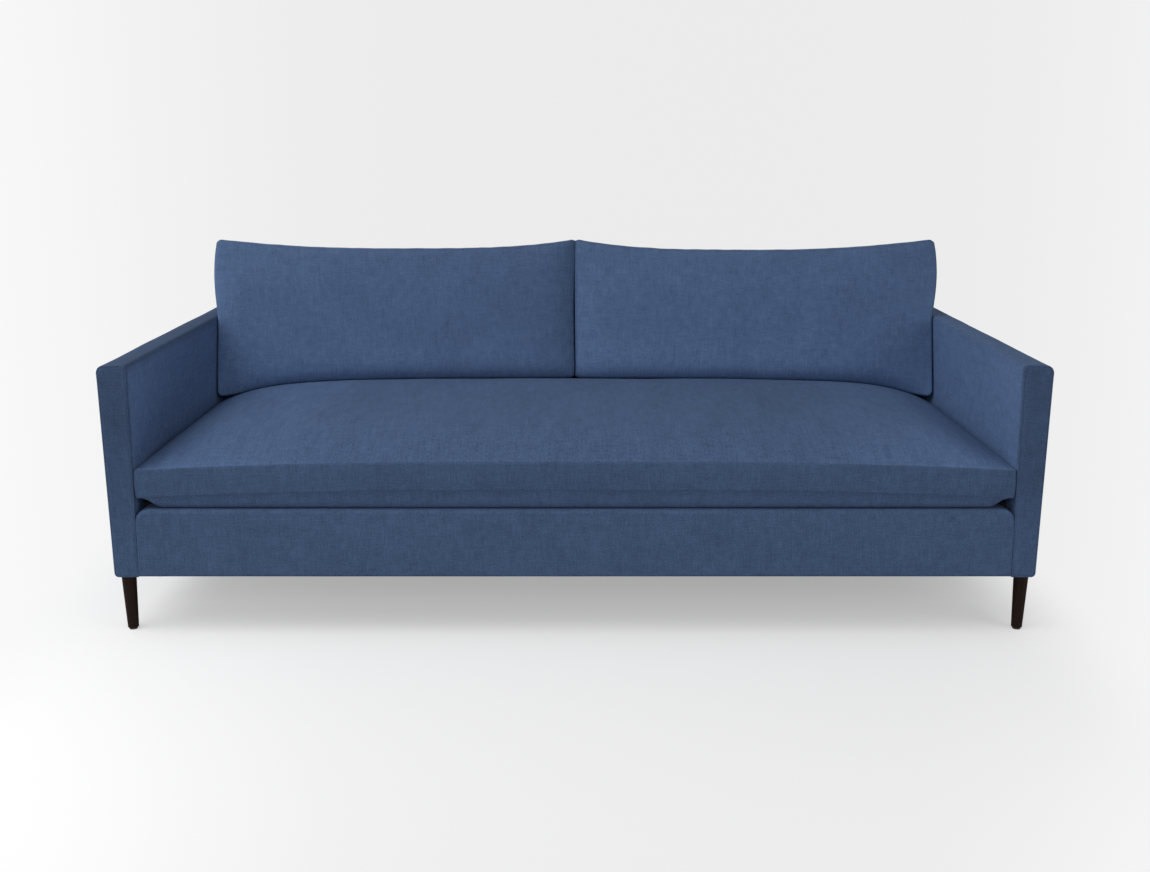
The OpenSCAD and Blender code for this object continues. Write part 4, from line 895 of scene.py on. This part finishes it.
# What dresses each slot, and the numbers it is given.
MATERIALS = {
    "blue_velvet": (pile_cloth,),
    "black_cloth": (woven_cloth, (0.017, 0.017, 0.019), 0.0016, 0.6),
    "webbing": (woven_cloth, (0.30, 0.22, 0.12), 0.0028, 0.7),
    "frame_timber": (timber, (0.56, 0.40, 0.24), (0.40, 0.26, 0.14), 0.45, 0.3),
    "leg_wood": (timber, (0.0220, 0.0100, 0.0064), (0.0115, 0.0054, 0.0036), 0.40, 0.12),
    "hardboard": (grainy, (0.17, 0.095, 0.05), 0.0016, 0.7, 0.25, 0.45, 0.35),
    "fibre_padding": (grainy, (0.74, 0.73, 0.70), 0.004, 0.30, 0.15, 0.65, 0.6),
    "foam": (grainy, (0.72, 0.66, 0.48), 0.0012, 0.5, 0.12, 0.65, 0.5),
    "spring_steel": (grainy, (0.42, 0.42, 0.41), 0.003, 0.25, 0.45, 0.22, 0.08, 1.0),
    "slider_metal": (grainy, (0.30, 0.29, 0.28), 0.0016, 0.2, 0.35, 0.25, 0.08, 1.0),
    "glide_nylon": (grainy, (0.045, 0.043, 0.042), 0.0014, 0.4, 0.2, 0.30, 0.15),
    "zip_nylon": (zip_material,),
}


def finish_material(name):
    """The slot's material: the imported one is given its nodes, so every solid that has it is dressed too."""
    material = bpy.data.materials.get(name) or bpy.data.materials.new(name)
    lay, *numbers = MATERIALS[name]
    lay(emptied(material), *numbers)
    return material


# Nodes of two timbers side by side, whose box is wider than it is long: the axes along, across and through them.
ALONG_OF_PAIRS = {"seat_stretchers": [1, 0, 2], "back_uprights": [2, 0, 1]}


def lay_grain(node):
    """Marks a solid's points with how far they are along it, across it and through it."""
    low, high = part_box(node.name)
    sizes = high - low
    order = sorted(range(3), key=lambda axis: -sizes[axis])
    if node.name in ALONG_OF_PAIRS:
        order = ALONG_OF_PAIRS[node.name]
    middle = (low + high) / 2
    points = np.zeros(len(node.data.vertices) * 3)
    node.data.vertices.foreach_get("co", points)
    points = points.reshape(-1, 3)[:, order] - [middle[axis] for axis in order]
    # The pile reads its painted light and shade there, which on these solids is none.
    if any(material and material.name == "blue_velvet" for material in node.data.materials):
        points[:, 2] = 1.0
    layer = node.data.attributes.new("grain", "FLOAT_VECTOR", "POINT")
    layer.data.foreach_set("vector", points.astype(np.float32).ravel())


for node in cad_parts.values():
    lay_grain(node)
materials = {name: finish_material(name) for name in MATERIALS}
for slot, pieces in (("blue_velvet", velvet_pieces), ("black_cloth", black_pieces)):
    for piece in pieces:
        piece.data.materials.append(materials[slot])


# Studio

FOCAL_SHARE, SENSOR_WIDTH = 1256 / 1150, 36.0
CAMERA_AT = (0.0, -3.2298, 1.1573)
CAMERA_DOWN = math.radians(13.88)

# The backdrop's grey across the view, as places along it and tones, and the even grey behind the viewer.
PAPER_TONES = ((0.0, 0.96), (0.14, 0.90), (0.30, 0.838), (0.55, 0.831), (0.80, 0.831), (0.93, 0.875), (1.0, 0.91))
BEHIND_TONE = (0.90, 0.90, 0.90)
# Where the floor and the wall turn to that grey, and the least distance ahead that their tone is reckoned with.
FLOOR_TURNS, FLOOR_NEAREST = (-1.5, -2.8), 1.7
WALL_TURNS, WALL_NEAREST = (0.0, -0.06), 0.15
# How pale the floor is near the sofa, how much light falls on it there, how far to the left its shadow is, and how far
# out from the sofa's ends and its front or rear it fades.
FLOOR_BODY, FLOOR_LIGHT, SHADOW_SHIFT = 0.75, 0.62, 0.06
FADE_BESIDE, FADE_BEFORE = (-0.04, 0.26), (0.35, 1.7)
AMBIENT = 0.15


def camera():
    data = bpy.data.cameras.new("view")
    data.sensor_fit, data.sensor_width = "HORIZONTAL", SENSOR_WIDTH
    data.lens = SENSOR_WIDTH * FOCAL_SHARE
    data.clip_start, data.clip_end = 0.05, 100
    viewer = put_in_scene("view", data)
    viewer.location = CAMERA_AT
    viewer.rotation_euler = (math.pi / 2 - CAMERA_DOWN, 0, 0)
    bpy.context.scene.camera = viewer


def paper_tone(n, aside, ahead, nearest, behind):
    """The backdrop's grey: a little paler towards both sides, and even behind the viewer."""
    ratio = n.math("DIVIDE", aside, n.math("MAXIMUM", ahead, nearest))
    ramp = n.add("ShaderNodeValToRGB", {"Fac": n.math("ADD", ratio, 0.5)})
    ramp.color_ramp.interpolation = "B_SPLINE"
    elements = ramp.color_ramp.elements
    while len(elements) < len(PAPER_TONES):
        elements.new(0.5)
    for element, (place, tone) in zip(elements, PAPER_TONES):
        element.position = place
        element.color = (tone, tone, tone, 1)
    return n.blend(behind, ramp.outputs["Color"], BEHIND_TONE)


def floor():
    mesh = bpy.data.meshes.new("floor")
    mesh.from_pydata([(-40, -40, 0), (40, -40, 0), (40, 40, 0), (-40, 40, 0)], [], [(0, 1, 2, 3)])
    ground = put_in_scene("floor", mesh)
    material = bpy.data.materials.new("floor_paper")
    n = emptied(material)
    place = n.add("ShaderNodeSeparateXYZ", {0: n.add("ShaderNodeNewGeometry").outputs["Position"]})
    x, y = place.outputs["X"], place.outputs["Y"]
    tone = paper_tone(n, x, n.math("SUBTRACT", y, CAMERA_AT[1]), FLOOR_NEAREST, n.smooth(y, *FLOOR_TURNS))
    beside = n.math("SUBTRACT", n.math("ABSOLUTE", n.math("ADD", x, SHADOW_SHIFT)), HALF_WIDTH)
    before = n.math("SUBTRACT", n.math("ABSOLUTE", y), REAR_Y)
    near = n.times(n.smooth(beside, *FADE_BESIDE, 1.0, 0.0), n.smooth(before, *FADE_BEFORE, 1.0, 0.0))
    body = n.add("ShaderNodeBsdfDiffuse", {"Color": n.blend(near, (0.0, 0.0, 0.0), (FLOOR_BODY,) * 3)})
    lit = n.times(near, FLOOR_BODY * FLOOR_LIGHT)
    lit = n.add("ShaderNodeCombineColor", {0: lit, 1: lit, 2: lit}).outputs[0]
    glow = n.add("ShaderNodeEmission", {"Color": n.blend(1.0, tone, lit, "SUBTRACT"), "Strength": 1.0})
    seen = n.add("ShaderNodeAddShader", {0: body.outputs[0], 1: glow.outputs[0]})
    other = n.add("ShaderNodeBsdfDiffuse", {"Color": (0.78, 0.78, 0.78)})
    mix = n.add("ShaderNodeMixShader", {0: n.add("ShaderNodeLightPath").outputs["Is Camera Ray"],
                                        1: other.outputs[0], 2: seen.outputs[0]})
    n.add("ShaderNodeOutputMaterial", {0: mix.outputs[0]})
    mesh.materials.append(material)
    return ground


def surroundings():
    world = bpy.data.worlds.new("studio")
    bpy.context.scene.world = world
    n = emptied(world)
    way = n.add("ShaderNodeSeparateXYZ", {0: n.add("ShaderNodeTexCoord").outputs["Generated"]})
    x, y = way.outputs["X"], way.outputs["Y"]
    tone = paper_tone(n, x, y, WALL_NEAREST, n.smooth(y, *WALL_TURNS))
    path = n.add("ShaderNodeLightPath")
    seen = n.math("MAXIMUM", path.outputs["Is Camera Ray"],
                  n.math("MAXIMUM", path.outputs["Is Glossy Ray"], path.outputs["Is Transmission Ray"]))
    light = n.add("ShaderNodeBackground", {"Color": (1, 1, 1), "Strength": AMBIENT})
    shown = n.add("ShaderNodeBackground", {"Color": tone, "Strength": 1.0})
    mix = n.add("ShaderNodeMixShader", {0: seen, 1: light.outputs[0], 2: shown.outputs[0]})
    n.add("ShaderNodeOutputWorld", {0: mix.outputs[0]})


def lamp(name, place, size, watts, spares=None, shine=True):
    """A soft box that faces the sofa. It can be flagged off one thing, and can light cloth without a shine."""
    data = bpy.data.lights.new(name, "AREA")
    data.shape, data.size, data.size_y, data.energy = "RECTANGLE", *size, watts
    light = put_in_scene(name, data)
    light.location = place
    light.visible_glossy = shine
    light.rotation_euler = (Vector((0, 0, 0.4)) - Vector(place)).to_track_quat("-Z", "Y").to_euler()
    if spares:
        flagged = bpy.data.collections.new(f"out of the {name} light")
        flagged.objects.link(spares)
        flagged.collection_objects[0].light_linking.link_state = "EXCLUDE"
        light.light_linking.receiver_collection = flagged


camera()
ground_paper = floor()
surroundings()
lamp("key", (-2.50, -1.45, 3.85), (3.4, 3.4), 80)
lamp("left side", (-4.40, 0.20, 1.90), (2.6, 2.4), 70, spares=ground_paper)
lamp("right side", (3.40, -3.00, 1.90), (3.0, 2.2), 34)
lamp("front", (-0.80, -4.80, 1.90), (3.2, 2.0), 52)
lamp("top", (0.0, -0.40, 4.20), (4.0, 3.0), 12)
lamp("rear", (1.80, 4.60, 2.30), (3.0, 2.2), 75, spares=ground_paper, shine=False)
bpy.context.scene.view_settings.view_transform = "Standard"
